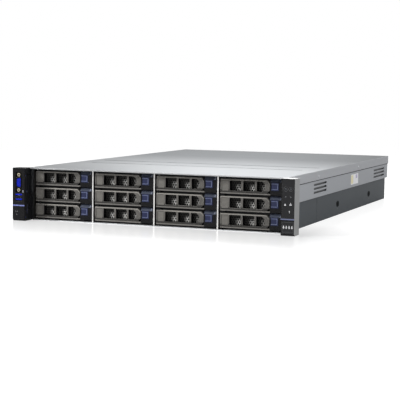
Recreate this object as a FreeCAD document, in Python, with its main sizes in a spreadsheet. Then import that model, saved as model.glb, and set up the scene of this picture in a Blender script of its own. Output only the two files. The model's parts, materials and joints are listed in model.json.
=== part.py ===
"""A 2U rack server with twelve 3.5-inch drive bays, as a parametric FreeCAD document.

Frame: +Z up, the front faces -Y, +X is to the right of someone facing the front.
The origin is at the middle of the bottom of the whole server. All sizes are in millimetres.
"""
import FreeCAD, Part
import os
import re

import Sketcher
from FreeCAD import Rotation, Vector

doc = FreeCAD.newDocument("rack_server")

# ---------------------------------------------------------------- counts and driving sizes
ROWS, COLUMNS = 3, 4      # drive bays
VENT_SLOTS = 3            # slots of each side vent
AIR_SLOTS = 16            # air slots above the power supplies
BANK = 6                  # memory modules between a processor and the middle
SIZES = [
    ("handle_reach", 30.0, "how far the power supplies' handles stand out behind"),
    ("rail_recess", 6.0, "how far the lower flank steps in for the slide rail"),
    ("recess_height", 43.5, "height of the stepped-in lower flank"),
    ("wall", 1.2, "sheet of the chassis"),
    ("running_gap", 0.3, "between pieces that move past each other"),
    ("service_gap", 45.0, "from the air duct to the power supplies"),
    # top cover
    ("cover_sheet", 1.2, "sheet of the top cover"),
    ("cover_flange", 14.7, "height of the cover's side flange"),
    ("cover_overhang", 8.0, "how far the cover's lip stands in front of the bays"),
    ("cover_hem", 2.2, "turned-down edge of the lip"),
    ("bead_width", 1.6, "pressed line across the cover"),
    ("bead_depth", 0.6, "depth of the pressed line"),
    ("cover_ease", 0.25, "cover above the drive cage"),
    ("front_bead_from_front", 197.0, "front pressed line, behind the ears' front"),
    ("rear_bead_from_front", 270.0, "rear pressed line, behind the ears' front"),
    ("front_bead_margin", 29.5, "front line's ends from the cover's sides"),
    ("rear_bead_margin", 20.5, "rear line's ends from the cover's sides"),
    ("screw_head_radius", 2.6, "cover screw"),
    ("screw_head_height", 0.8, "cover screw"),
    ("screw_drop", 9.0, "cover screws below the top"),
    ("front_screw_from_front", 195.0, "front cover screw, behind the ears' front"),
    ("rear_screw_from_front", 467.0, "rear cover screw, behind the ears' front"),
    # side vents and rail holes
    ("vent_slot_height", 3.6, "each slot of a side vent"),
    ("vent_slot_pitch", 6.4, "from slot to slot"),
    ("front_vent_drop", 5.4, "front vent below the cover's flange"),
    ("front_vent_from_front", 172.0, "start of the front vent"),
    ("front_vent_length", 79.0, "length of the front vent's slots"),
    ("rear_vent_drop", 6.4, "rear vent below the cover's flange"),
    ("rear_vent_from_back", 30.0, "end of the rear vent"),
    ("rear_vent_length", 90.0, "length of the rear vent's slots"),
    ("rail_hole_radius", 2.6, "hole for the inner slide rail's screw"),
    ("rail_hole_height", 20.0, "rail holes above the bottom"),
    ("rail_hole_from_front", 344.0, "first rail hole, behind the ears' front"),
    ("rail_hole_spacing", 236.0, "from the first rail hole to the second"),
    ("seam_from_front", 208.0, "seam line in the lower flank"),
    ("seam_width", 0.8, "seam line in the lower flank"),
    ("seam_depth", 0.4, "seam line in the lower flank"),
    # ears
    ("ear_wing", 17.8, "how far an ear stands out beside the body, to the rack's 482.6 mm over both"),
    ("ear_width", 22.0, "each ear"),
    ("ear_seat", 1.0, "how far the face that meets the rack's post is set in"),
    ("ear_depth", 25.0, "each ear"),
    ("ear_chamfer", 2.5, "lower front edge of the ears"),
    ("ear_face_margin", 1.4, "rim round the ears' sunk front panel"),
    ("ear_face_sink", 0.5, "how far the front panel is sunk"),
    ("ear_block_height", 23.0, "lower block of the ears"),
    ("ear_trim_height", 4.0, "trim strip above the lower block"),
    ("ear_grip_depth", 2.0, "hollow in the ears' inner side"),
    ("ear_grip_length", 13.0, "hollow in the ears' inner side"),
    ("ear_grip_drop", 10.0, "hollow in the ears' inner side, below the top"),
    ("button_radius", 2.7, "power and locator buttons"),
    ("button_length", 5.0, "power and locator buttons"),
    ("button_proud", 0.3, "how far the buttons stand out of the sunk panel"),
    ("button_stroke", 1.0, "travel of the buttons"),
    ("button_drop", 15.8, "buttons below the top"),
    ("button_spacing", 7.8, "from button to button"),
    # ports in the left ear
    ("port_rim", 0.5, "sheet of a port's shell"),
    ("usb_width", 13.1, "USB port"),
    ("usb_height", 5.7, "USB port"),
    ("usb_depth", 12.0, "USB port"),
    ("usb_pitch", 7.8, "from USB port to USB port"),
    ("usb_drop", 44.8, "upper USB port below the top"),
    ("vga_width", 8.4, "VGA port"),
    ("vga_height", 16.9, "VGA port"),
    ("vga_depth", 8.0, "VGA port"),
    ("vga_drop", 24.0, "VGA port below the top"),
    ("post_spacing", 25.2, "from jack post to jack post"),
    ("post_radius", 2.9, "jack post, over its corners"),
    ("post_recess", 3.5, "hollow that the VGA port and its posts stand in"),
    # drive bays
    ("bay_setback", 26.0, "bay fronts behind the ears' front"),
    ("carrier_side_gap", 1.25, "between a carrier and an upright"),
    ("row_gap", 1.45, "between a carrier and the next one up"),
    ("row_floor", 3.9, "underside of the lowest row"),
    ("separator", 2.4, "upright between two columns"),
    ("ledge", 0.8, "sheet ledge that carries a carrier's rails"),
    ("ledge_reach", 3.2, "how far a ledge stands out of its upright"),
    ("cage_sheet", 0.8, "outer sides and top of the drive cage"),
    ("cage_ease", 0.2, "extra room beside the outer carriers"),
    # drive carrier
    ("drive_side_gap", 0.8, "drive inside its carrier's sides"),
    ("drive_top_gap", 0.5, "drive below its carrier's top"),
    ("carrier_gap", 0.3, "carrier above its ledge"),
    ("bezel_sheet", 1.8, "back plate of the carrier's bezel"),
    ("lever_depth", 7.0, "lever, front to back"),
    ("lever_gap", 0.4, "between the lever and the bezel"),
    ("lip_height", 2.2, "bottom lip of the bezel"),
    ("housing_width", 20.6, "catch housing at the bezel's right end"),
    ("housing_slope", 5.5, "sloped top of the catch housing"),
    ("rail_sheet", 0.7, "side rails of the carrier"),
    ("rail_height", 16.0, "side rails of the carrier"),
    ("rail_short", 12.0, "side rails end before the drive does"),
    ("drive_width", 101.6, "3.5-inch drive"),
    ("drive_height", 25.0, "3.5-inch drive"),
    ("drive_length", 147.0, "3.5-inch drive"),
    ("drive_setback", 11.0, "drive behind the bezel's front"),
    ("drive_chamfer", 3.0, "upright edges of the drive"),
    ("drive_rear_gap", 2.0, "drive in front of the backplane"),
    ("ledge_setback", 2.0, "ledges behind the bezels"),
    # lever and its catch
    ("lever_margin", 1.6, "lever's end from the bezel's side"),
    ("pin_radius", 1.2, "lever's pivot pin"),
    ("pin_fit", 0.05, "radial clearance of the pivot pin"),
    ("pin_length", 1.6, "lever's pivot pin, past the lever"),
    ("lug_width", 8.0, "hinge lugs of the bezel"),
    ("tip_chamfer", 4.6, "slanted corners of the lever's tip"),
    ("hinge_block", 15.2, "closed end of the lever"),
    ("tip_rim", 7.4, "lever's tip past its windows"),
    ("tip_window_less", 5.4, "third window narrower than the first two"),
    ("window_bar", 3.2, "bars between the lever's windows"),
    ("window_rim", 2.2, "rim above and below the lever's windows"),
    ("panel_sink", 0.8, "sunk square on the lever's hinge block"),
    ("catch_width", 12.0, "release button of a carrier"),
    ("catch_shift", 2.0, "release button left of its housing's middle"),
    ("catch_low", 7.4, "release button above the bezel's bottom"),
    ("catch_rim", 2.2, "rim round the release button's hollow"),
    ("catch_depth", 5.0, "release button, front to back"),
    ("catch_proud", 0.4, "release button in front of the bezel"),
    ("catch_stroke", 1.6, "travel of the release button"),
    # pull-out tag
    ("tag_width", 21.0, "pull-out information tag"),
    ("tag_length", 75.0, "pull-out information tag"),
    ("tag_sheet", 1.2, "pull-out information tag"),
    ("tag_margin", 26.0, "tag from the cage's left side"),
    ("tag_proud", 3.0, "tag in front of the bays"),
    # backplane
    ("board", 2.4, "backplane board"),
    ("board_margin", 2.0, "backplane board inside the cage's width"),
    ("socket_width", 34.0, "drive socket on the backplane"),
    ("socket_height", 6.0, "drive socket on the backplane"),
    ("socket_low", 3.5, "drive socket above the drive's underside"),
    ("airway_height", 7.0, "airway through the backplane"),
    ("airway_inset", 5.6, "airway narrower than a carrier, each side"),
    # fans
    ("fan_top_gap", 4.0, "fan frame below the top of the walls"),
    ("fan_depth", 38.0, "fan frame, front to back"),
    ("fan_wall_gap", 17.3, "outer fans from the side walls"),
    ("fan_air_gap", 49.6, "fans behind the backplane"),
    ("fan_rim", 1.6, "thinnest wall of a fan frame"),
    ("fan_corner", 4.0, "bevelled corners of a fan frame"),
    ("fan_floor_gap", 0.3, "fan frames above the floor"),
    ("tip_gap", 1.0, "between the blades' tips and the frame"),
    ("hub_radius", 17.0, "rotor hub"),
    ("hub_length", 26.0, "rotor hub"),
    ("blade_root", 4.0, "how deep a blade starts in the hub"),
    ("blade_sag", 3.0, "flat outer end of a blade inside its tip circle"),
    ("hub_round", 3.0, "bevelled nose of the hub"),
    ("rotor_inset", 4.0, "rotor behind the frame's front"),
    ("blade_count", 5, "blades of a rotor"),
    ("blade_thick", 1.6, "blade"),
    ("blade_chord", 20.0, "blade, front to back"),
    ("blade_lean", 18.0, "sideways run of a blade, front to back"),
    ("shaft_radius", 1.5, "fan shaft"),
    ("shaft_fit", 0.05, "radial clearance of the fan shaft"),
    ("motor_plate", 3.0, "motor plate and spokes behind the rotor"),
    ("spoke_width", 4.0, "motor plate's spokes"),
    # mainboard
    ("standoff", 5.8, "board above the floor"),
    ("standoff_radius", 3.0, "standoffs"),
    ("pcb", 1.6, "mainboard sheet"),
    ("pcb_side_gap", 7.3, "mainboard from the side walls"),
    ("pcb_front_edge", 4.0, "mainboard in front of the memory sockets"),
    ("stand_inset", 14.0, "outer standoffs from the board's sides"),
    ("stand_middle", 60.0, "inner standoffs from the middle"),
    ("stand_front", 15.0, "front standoffs behind the board's front edge"),
    ("stand_run", 160.0, "from the front standoffs to the middle ones"),
    ("stand_back", 20.0, "rear standoffs before the board's rear edge"),
    ("pcb_rear_gap", 2.0, "mainboard from the rear wall"),
    ("cpu_gap", 9.8, "between a processor's socket and the memory beside it"),
    ("cpu_long", 7.6, "socket frame longer than it is wide"),
    ("cpu_size", 76.0, "processor socket frame"),
    ("cpu_stack", 5.4, "socket and processor together"),
    ("sink_width", 78.0, "processor heatsink"),
    ("sink_length", 108.0, "processor heatsink"),
    ("sink_base", 4.0, "processor heatsink"),
    ("sink_top_gap", 6.0, "heatsink under the air duct"),
    ("fin", 0.8, "heatsink fin"),
    ("fin_count", 22, "heatsink fins"),
    ("dimm_pitch", 9.0, "from memory module to memory module"),
    ("dimm_first", 9.0, "first memory module from the server's middle"),
    ("dimm_sink_gap", 6.0, "first outer memory module from the heatsink"),
    ("dimm_edge", 9.0, "last memory module from the board's side"),
    ("dimm_length", 133.4, "memory module"),
    ("dimm_height", 31.2, "memory module"),
    ("dimm_thick", 3.8, "memory module with its chips"),
    ("dimm_socket_height", 3.4, "memory socket"),
    ("dimm_socket_width", 6.4, "memory socket"),
    ("dimm_socket_length", 142.0, "memory socket"),
    ("port_depth", 16.0, "port blocks at the rear edge"),
    ("port_window_margin", 26.3, "rear ports' window from the board's notch"),
    ("port_window_length", 197.0, "rear ports' window"),
    ("port_window_height", 17.0, "rear ports' window"),
    ("chip_size", 40.0, "chipset with its cooler"),
    ("chip_height", 6.0, "chipset with its cooler"),
    ("chip_from_notch", 34.3, "chipset's middle from the board's notch"),
    ("chip_from_back", 90.0, "chipset's middle before the board's rear edge"),
    ("notch_gap", 6.0, "board in front of the power supplies"),
    # air duct
    ("duct_sheet", 2.0, "air duct"),
    ("duct_inset", 3.0, "air duct inside the board's sides"),
    ("duct_drop", 5.5, "air duct below the top of the walls"),
    ("duct_gap", 24.0, "air duct behind the fans"),
    ("duct_lead", 30.0, "air duct in front of the mainboard"),
    ("duct_tail", 14.0, "air duct behind the memory sockets"),
    ("duct_lift", 30.0, "duct's side walls in front of the board"),
    ("duct_clear", 2.0, "duct's slope and ribs from the board and the heatsinks"),
    ("rib_margin", 1.0, "duct's ribs beside the heatsinks"),
    # power supplies
    ("psu_width", 73.5, "power supply"),
    ("psu_height", 40.0, "power supply"),
    ("psu_length", 185.0, "power supply"),
    ("psu_gap", 0.5, "round each power supply"),
    ("psu_bevel", 1.2, "upper and lower edge of the power supply's face"),
    ("psu_proud", 1.2, "power supply's face behind the rear wall"),
    ("psu_deck", 1.0, "sheet round the power supplies"),
    ("grip_left", 4.0, "handle from the power supply's left side"),
    ("grip_width", 36.0, "power supply's handle"),
    ("grip_bar", 5.5, "power supply's handle"),
    ("grip_thick", 6.0, "power supply's handle"),
    ("grip_low", 9.0, "handle above the power supply's underside"),
    ("inlet_width", 24.0, "power inlet"),
    ("inlet_height", 16.0, "power inlet"),
    ("inlet_depth", 17.0, "power inlet"),
    ("inlet_right", 4.0, "power inlet from the right side"),
    ("inlet_top", 3.0, "power inlet from the top"),
    ("blade_pin", 2.0, "inlet's pins"),
    ("pin_spread", 7.0, "outer pins from the inlet's middle"),
    ("pin_drop", 2.0, "outer pins below the inlet's middle"),
    ("pin_rise", 2.5, "middle pin above the inlet's middle"),
    ("pin_inset", 4.0, "pins end inside the inlet"),
    ("psu_catch_width", 8.0, "power supply's release tab"),
    ("psu_catch_height", 5.4, "power supply's release tab"),
    ("psu_catch_low", 5.0, "release tab above the power supply's underside"),
    ("psu_catch_right", 2.0, "release tab from the right side"),
    ("psu_catch_reach", 9.0, "release tab behind the face"),
    ("psu_catch_stroke", 2.5, "travel of the release tab"),
    # riser cage
    ("riser_from_notch", 86.3, "riser cage's inner side from the board's notch"),
    ("riser_window_inset", 12.0, "window in the riser cage's inner side"),
    ("riser_window_rise", 22.0, "window in the riser cage's inner side"),
    ("riser_rib_sheet", 1.6, "plate between the two rows of cards"),
    ("riser_rib_front", 10.0, "plate between the two rows of cards"),
    ("riser_rib_back", 40.0, "plate between the two rows of cards"),
    ("riser_length", 170.0, "riser cage"),
    ("riser_sheet", 1.2, "riser cage"),
    ("slot_pitch", 20.32, "from expansion slot to expansion slot"),
    ("slot_width", 12.0, "expansion slot's opening"),
    ("slot_first", 14.0, "first slot from the riser cage's inner side"),
    ("slot_side_room", 8.0, "last slot from the side wall"),
    ("slot_foot", 4.0, "slots above the recess's step"),
    ("slot_head", 6.0, "slots below the top of the walls"),
    ("slot_lap", 1.0, "slot covers over the slots' edges"),
    # air slots of the rear wall
    ("air_pitch", 12.0, "from air slot to air slot"),
    ("air_width", 6.0, "air slot"),
    ("air_height", 26.0, "air slot"),
    ("air_first", 16.0, "first air slot from the left wall"),
    ("air_rise", 20.0, "air slots' middle above the recess's step"),
]

# sizes that follow from the driving ones
DERIVED = {
    "column_pitch": "carrier_width + 2 * carrier_side_gap + separator",
    "row_pitch": "carrier_height + row_gap",
    "carrier_width": "drive_width + 2 * drive_side_gap",
    "carrier_height": "drive_height + drive_top_gap",
    "cage_depth": "drive_setback + drive_length + drive_rear_gap",
    "duct_from_front": "bay_setback + cage_depth + board + fan_air_gap + fan_depth + duct_gap",
    "duct_length": "duct_lead + pcb_front_edge + dimm_socket_length + duct_tail",
    "body_depth": "duct_from_front + duct_length + service_gap + psu_length",
    "front": "0 - (body_depth + handle_reach) / 2",
    "back": "front + body_depth",
    "tub_front": "front + ear_depth",
    "bay_front": "front + bay_setback",
    "cage_half": "%g * column_pitch - separator / 2 + cage_sheet + cage_ease" % (COLUMNS / 2),
    "lower_half": "cage_half + running_gap + wall",
    "flange_half": "lower_half + rail_recess",
    "upper_half": "flange_half - cover_sheet - running_gap",
    "cover_under": "cage_top_under + cage_sheet + cover_ease",
    "body_height": "cover_under + cover_sheet",
    "flange_low": "body_height - cover_flange",
    "vent_height": "%d * vent_slot_pitch + vent_slot_height" % (VENT_SLOTS - 1),
    "front_bead_half": "flange_half - front_bead_margin",
    "rear_bead_half": "flange_half - rear_bead_margin",
    "screw_height": "body_height - screw_drop",
    "front_vent_low": "flange_low - front_vent_drop - vent_height",
    "rear_vent_low": "flange_low - rear_vent_drop - vent_height",
    "rear_vent_from_front": "body_depth - rear_vent_from_back - rear_vent_length",
    "wall_top": "cover_under - running_gap",
    "ear_outer": "flange_half + ear_wing",
    "ear_inner": "ear_outer - ear_width",
    "ear_middle": "(ear_outer + ear_inner) / 2",
    "trim_top": "ear_block_height + ear_trim_height",
    "ear_face": "front + ear_face_sink",
    "button_height": "body_height - button_drop",
    "cage_top_under": "row_floor + %d * row_pitch" % ROWS,
    "bezel_back": "lever_depth + lever_gap",
    "bezel_rear": "bezel_back + bezel_sheet",
    "lever_low": "lip_height + lever_gap",
    "lever_high": "carrier_height - lip_height - lever_gap",
    "lever_tip": "carrier_width - housing_width - lever_gap",
    "pivot_x": "lever_margin + lever_depth / 2",
    "pivot_y": "lever_depth / 2",
    "housing_left": "carrier_width - housing_width",
    "catch_left": "housing_left + (housing_width - catch_width) / 2 - catch_shift",
    "catch_height": "carrier_height - housing_slope - catch_low",
    "windows_room": "lever_tip - tip_rim - first_window - 2 * window_bar",
    "window_width": "(windows_room + tip_window_less) / 3",
    "tip_window_width": "window_width - tip_window_less",
    "window_low": "lever_low + window_rim",
    "window_high": "lever_high - window_rim",
    "first_window": "lever_margin + hinge_block",
    "second_window": "first_window + window_width + window_bar",
    "third_window": "second_window + window_width + window_bar",
    "drive_left": "(carrier_width - drive_width) / 2",
    "board_front": "bay_front + cage_depth",
    "drive_rear": "bay_front + drive_setback + drive_length",
    "fan_front": "board_front + board + fan_air_gap",
    "fan_size": "wall_top - fan_low - fan_top_gap",
    "fan_pitch": "(2 * (lower_half - wall - fan_wall_gap) - fan_size) / 3",
    "fan_bore": "fan_size / 2 - fan_rim",
    "rotor_radius": "fan_bore - tip_gap",
    "fan_low": "wall + fan_floor_gap",
    "fan_axis": "fan_low + fan_size / 2",
    "pcb_low": "wall + standoff",
    "pcb_top": "pcb_low + pcb",
    "pcb_half_width": "lower_half - wall - pcb_side_gap",
    "pcb_front": "front + duct_from_front + duct_lead",
    "pcb_back": "back - wall - pcb_rear_gap",
    "cpu_y": "pcb_front + pcb_front_edge + dimm_socket_length / 2",
    "inner_bank_end": "dimm_first + %d * dimm_pitch + dimm_socket_width / 2" % (BANK - 1),
    "cpu_middle": "inner_bank_end + cpu_gap + cpu_size / 2",
    "dimm_outer": "cpu_middle + sink_width / 2 + dimm_sink_gap",
    "sink_height": "duct_top - duct_sheet - sink_top_gap - sink_low",
    "duct_top": "wall_top - duct_drop",
    "duct_half_width": "pcb_half_width - duct_inset",
    "sink_low": "pcb_top + cpu_stack",
    "psu_left": "0 - lower_half + wall + psu_gap",
    "psu_pitch": "psu_width + psu_gap",
    "psu_bay_right": "psu_left + 2 * psu_width + 2 * psu_gap",
    "psu_low": "wall + psu_gap",
    "psu_bay_top": "psu_low + psu_height + psu_gap",
    "ledge_top": "recess_height + wall",
    "board_notch": "psu_bay_right + psu_deck + psu_gap",
    "riser_inner": "board_notch + riser_from_notch",
    "riser_outer": "lower_half",
    "riser_back": "back - wall",
}

sheet = doc.addObject("Spreadsheet::Sheet", "Sizes")
for line, (alias, value, meaning) in enumerate(SIZES, start=1):
    sheet.set("A%d" % line, alias)
    sheet.set("B%d" % line, str(value))
    sheet.set("C%d" % line, meaning)
    sheet.setAlias("B%d" % line, alias)
doc.recompute()
ALIASES = {alias for alias, value, meaning in SIZES}


# ---------------------------------------------------------------- helpers
def formula(text):
    """Write a formula in size names as a FreeCAD expression on the sheet."""
    def swap(match):
        word = match.group(0)
        if word in DERIVED:
            return "(" + formula(DERIVED[word]) + ")"
        return "Sizes." + word if word in ALIASES else word
    return re.sub(r"[a-z_][a-z_0-9]*", swap, str(text))


def number(text):
    """The value of a formula now."""
    return float(sheet.evalExpression(formula(text)))


def bind(thing, **formulas):
    for name, text in formulas.items():
        thing.setExpression(name, formula(text))
    return thing


def place(thing, x=0, y=0, z=0, rotation=None):
    """Stand a thing at a place given by formulas."""
    if rotation is not None:
        thing.Placement.Rotation = rotation
    for axis, text in zip("xyz", (x, y, z)):
        thing.setExpression("Placement.Base." + axis, formula(text))
    return thing


def box(name, x, y, z):
    """A block from the low to the high formula along each axis."""
    block = doc.addObject("Part::Box", name)
    lengths = ["(%s) - (%s)" % (high, low) for low, high in (x, y, z)]
    bind(block, Length=lengths[0], Width=lengths[1], Height=lengths[2])
    return place(block, x[0], y[0], z[0])


TURNS = {"x": Rotation(Vector(0, 1, 0), 90), "y": Rotation(Vector(1, 0, 0), -90), "z": Rotation()}


def rod(name, axis, radius, length, x=0, y=0, z=0):
    """A cylinder that runs along +axis from a point."""
    cylinder = doc.addObject("Part::Cylinder", name)
    bind(cylinder, Radius=radius, Height=length)
    return place(cylinder, x, y, z, TURNS[axis])


def combine(kind, name, things):
    joined = doc.addObject(kind, name)
    if kind == "Part::Compound":
        joined.Links = things
    else:
        joined.Shapes = things
    return joined


def fuse(name, *things):
    return combine("Part::MultiFuse", name, list(things))


def group(name, *things):
    return combine("Part::Compound", name, list(things))


def cut(name, base, *tools):
    result = doc.addObject("Part::Cut", name)
    result.Base = base
    result.Tool = tools[0] if len(tools) == 1 else fuse(name + "_tools", *tools)
    return result


def rectangle(low_x, high_x, low_y, high_y):
    return [(low_x, low_y), (high_x, low_y), (high_x, high_y), (low_x, high_y)]


def centred(middle_x, middle_y, width, height):
    """A rectangle about a point, by its full width and height."""
    return rectangle("(%s) - (%s) / 2" % (middle_x, width), "(%s) + (%s) / 2" % (middle_x, width),
                     "(%s) - (%s) / 2" % (middle_y, height), "(%s) + (%s) / 2" % (middle_y, height))


def polygon(x, y, radius, sides):
    """A regular outline about a point, with its corners on a circle and one of them along +x."""
    angles = [360 * side / sides for side in range(sides)]
    return [("(%s) + (%s) * cos(%g deg)" % (x, radius, angle),
             "(%s) + (%s) * sin(%g deg)" % (y, radius, angle)) for angle in angles]


def circle(x, y, radius):
    return ("circle", x, y, radius)


class Solid:
    """A PartDesign body that is built up from sketches on its own origin planes."""

    def __init__(self, name):
        self.body = doc.addObject("PartDesign::Body", name)
        self.origin = {item.Role: item for item in self.body.Origin.OriginFeatures}
        self.count = 0

    def feature(self, kind, label):
        self.count += 1
        return self.body.newObject(kind, "%s_%s_%d" % (self.body.Name, label, self.count))

    def sketch(self, plane, level, loops):
        """Closed loops on an origin plane that is moved along its axis to a level."""
        drawing = self.feature("Sketcher::SketchObject", "sketch")
        drawing.AttachmentSupport = [(self.origin[plane + "_Plane"], "")]
        drawing.MapMode = "FlatFace"
        sign = "0 - " if plane == "XZ" else ""
        bind(drawing, **{"AttachmentOffset.Base.z": "%s(%s)" % (sign, level)})
        for loop in loops:
            self.draw(drawing, loop)
        return drawing

    def draw(self, drawing, loop):
        if loop[0] == "circle":
            x, y, radius = loop[1:]
            middle = Vector(number(x), number(y), 0)
            edge = drawing.addGeometry(Part.Circle(middle, Vector(0, 0, 1), number(radius)), False)
            self.fix(drawing, edge, 3, x, y)
            mark = drawing.addConstraint(Sketcher.Constraint("Radius", edge, number(radius)))
            bind(drawing, **{"Constraints[%d]" % mark: radius})
            return
        corners = [Vector(number(x), number(y), 0) for x, y in loop]
        sides = [Part.LineSegment(corners[i - 1], corners[i]) for i in range(len(corners))]
        edges = drawing.addGeometry(sides, False)
        joints = [Sketcher.Constraint("Coincident", edges[i - 1], 2, edges[i], 1)
                  for i in range(len(edges))]
        drawing.addConstraint(joints)
        for edge, (x, y) in zip(edges, loop):
            self.fix(drawing, edge, 2, x, y)

    def fix(self, drawing, edge, point, x, y):
        """Hold a point of an edge at its distances from the sketch's origin."""
        for kind, text in (("DistanceX", x), ("DistanceY", y)):
            rule = Sketcher.Constraint(kind, -1, 1, edge, point, number(text))
            mark = drawing.addConstraint(rule)
            bind(drawing, **{"Constraints[%d]" % mark: text})

    def pad(self, plane, low, high, *loops):
        return self.extrude("PartDesign::Pad", plane, low, high, loops)

    def pocket(self, plane, low, high, *loops):
        return self.extrude("PartDesign::Pocket", plane, low, high, loops)

    def extrude(self, kind, plane, low, high, loops):
        drawing = self.sketch(plane, low, loops)
        feature = self.feature(kind, "pad" if kind.endswith("Pad") else "pocket")
        feature.Profile = drawing
        towards_normal = plane != "XZ"
        feature.Reversed = towards_normal != kind.endswith("Pad")
        bind(feature, Length="(%s) - (%s)" % (high, low))
        return feature

    def dress(self, kind, size, pick):
        """Round or bevel the edges of the solid so far that pick() chooses."""
        doc.recompute()
        base = self.body.Tip
        names = ["Edge%d" % (i + 1) for i, edge in enumerate(base.Shape.Edges) if pick(edge)]
        feature = self.feature("PartDesign::" + kind, kind.lower())
        feature.Base = (base, names)
        bind(feature, **{"Radius" if kind == "Fillet" else "Size": size})
        return feature

    def repeat(self, feature, kind, axis, count, **sizes):
        """Repeat a feature along or about an origin axis."""
        pattern = self.feature("PartDesign::" + kind, "pattern")
        pattern.Originals = [feature]
        setattr(pattern, "Direction" if kind == "LinearPattern" else "Axis",
                (self.origin[axis + "_Axis"], [""]))
        bind(pattern, Occurrences=count, **sizes)
        self.body.Tip = pattern
        return pattern


def upright_edge(x=None, y=None):
    """Picks edges along Z at the given places."""
    def pick(edge):
        box_ = edge.BoundBox
        along_z = box_.XLength < 0.01 and box_.YLength < 0.01 and box_.ZLength > 0.5
        at_x = x is None or any(abs(box_.XMin - number(place_)) < 0.01 for place_ in x)
        at_y = y is None or any(abs(box_.YMin - number(place_)) < 0.01 for place_ in y)
        return along_z and at_x and at_y
    return pick


NODES = []


def node(name, thing):
    """Names a sub-part; its name is its file's name."""
    thing.Label = name
    NODES.append(thing)
    return thing


def copy(name, master, x, y, z):
    """A copy of a master shape at its own place."""
    return place(group(name, master), x, y, z)


# ---------------------------------------------------------------- chassis
def mirrored(points):
    """Closes an outline that is the same on both sides of the middle."""
    return points + [("0 - (%s)" % x, y) for x, y in reversed(points)]


def slot_left(slot):
    """Left side of an expansion slot; slot 0 is next to the riser cage's inner side."""
    return "riser_inner + slot_first + %d * slot_pitch" % slot


def slot_count():
    """As many expansion slots as fit between the riser cage's inner side and the side wall."""
    return int(number("(upper_half - slot_side_room - riser_inner - slot_first) / slot_pitch"))


def make_chassis():
    tub = Solid("chassis_body")
    outer = [("lower_half", "0"), ("lower_half", "recess_height"),
             ("upper_half", "recess_height"), ("upper_half", "wall_top")]
    inner = [("upper_half - wall", "wall_top"), ("upper_half - wall", "ledge_top"),
             ("lower_half - wall", "ledge_top"), ("lower_half - wall", "wall")]
    left = [("0 - (%s)" % x, y) for x, y in outer + inner]
    tub.pad("XZ", "tub_front", "back", outer + inner + left[::-1])
    tub.pad("XZ", "back - wall", "back", mirrored(outer))
    # sheet that parts the power supplies from the boards
    side = "psu_bay_right"
    deck = "psu_bay_top"
    tub.pad("XZ", "back - psu_length", "back - wall / 2",
            [("0 - lower_half + wall / 2", deck), ("0 - lower_half + wall / 2", deck + " + psu_deck"),
             (side + " + psu_deck", deck + " + psu_deck"), (side + " + psu_deck", "wall / 2"),
             (side, "wall / 2"), (side, deck)])
    # standoffs under the mainboard
    outer_stand = "pcb_half_width - stand_inset"
    right_stands = [outer_stand, "stand_middle"]
    stands = [(x, y) for x in right_stands + ["0 - (%s)" % x for x in right_stands]
              for y in ("pcb_front + stand_front", "pcb_front + stand_front + stand_run")]
    stands += [(x, "pcb_back - stand_back") for x in right_stands]
    tub.pad("XY", "wall / 2", "pcb_low", *[polygon(x, y, "standoff_radius", 6) for x, y in stands])
    # openings of the rear wall: power supplies, ports, expansion slots and air
    openings = [rectangle("psu_left + %d * psu_pitch - psu_gap / 2" % bay,
                          "psu_left + %d * psu_pitch + psu_width + psu_gap / 2" % bay,
                          "psu_low - psu_gap / 2", "psu_low + psu_height + psu_gap / 2")
                for bay in (0, 1)]
    openings += [rectangle(slot_left(slot), slot_left(slot) + " + slot_width",
                           "ledge_top + slot_foot", "wall_top - slot_head")
                 for slot in range(slot_count())]
    ports_left = "board_notch + port_window_margin"
    openings.append(rectangle(ports_left, ports_left + " + port_window_length",
                              "pcb_top", "pcb_top + port_window_height"))
    tub.pocket("XZ", "back - 2 * wall", "back + wall", *openings)
    air = tub.pocket("XZ", "back - 2 * wall", "back + wall",
                     centred("0 - upper_half + air_first", "ledge_top + air_rise",
                             "air_width", "air_height"))
    tub.repeat(air, "LinearPattern", "X", str(AIR_SLOTS), Length="%d * air_pitch" % (AIR_SLOTS - 1))
    # side vents, rail holes and the seam line in the lower flank
    for low, start, length in (("front_vent_low", "front_vent_from_front", "front_vent_length"),
                               ("rear_vent_low", "rear_vent_from_front", "rear_vent_length")):
        slots = [rectangle("front + " + start, "front + %s + %s" % (start, length),
                           "%s + %d * vent_slot_pitch" % (low, slot),
                           "%s + %d * vent_slot_pitch + vent_slot_height" % (low, slot))
                 for slot in range(VENT_SLOTS)]
        tub.pocket("YZ", "0 - flange_half - 1", "flange_half + 1", *slots)
    holes = [circle("front + rail_hole_from_front + %d * rail_hole_spacing" % step,
                    "rail_hole_height", "rail_hole_radius") for step in (0, 1)]
    tub.pocket("YZ", "0 - flange_half - 1", "flange_half + 1", *holes)
    line = rectangle("front + seam_from_front", "front + seam_from_front + seam_width",
                     "wall", "recess_height - wall")
    tub.pocket("YZ", "lower_half - seam_depth", "lower_half + 1", line)
    tub.pocket("YZ", "0 - lower_half - 1", "0 - lower_half + seam_depth", line)
    return node("chassis", tub.body)


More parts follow.
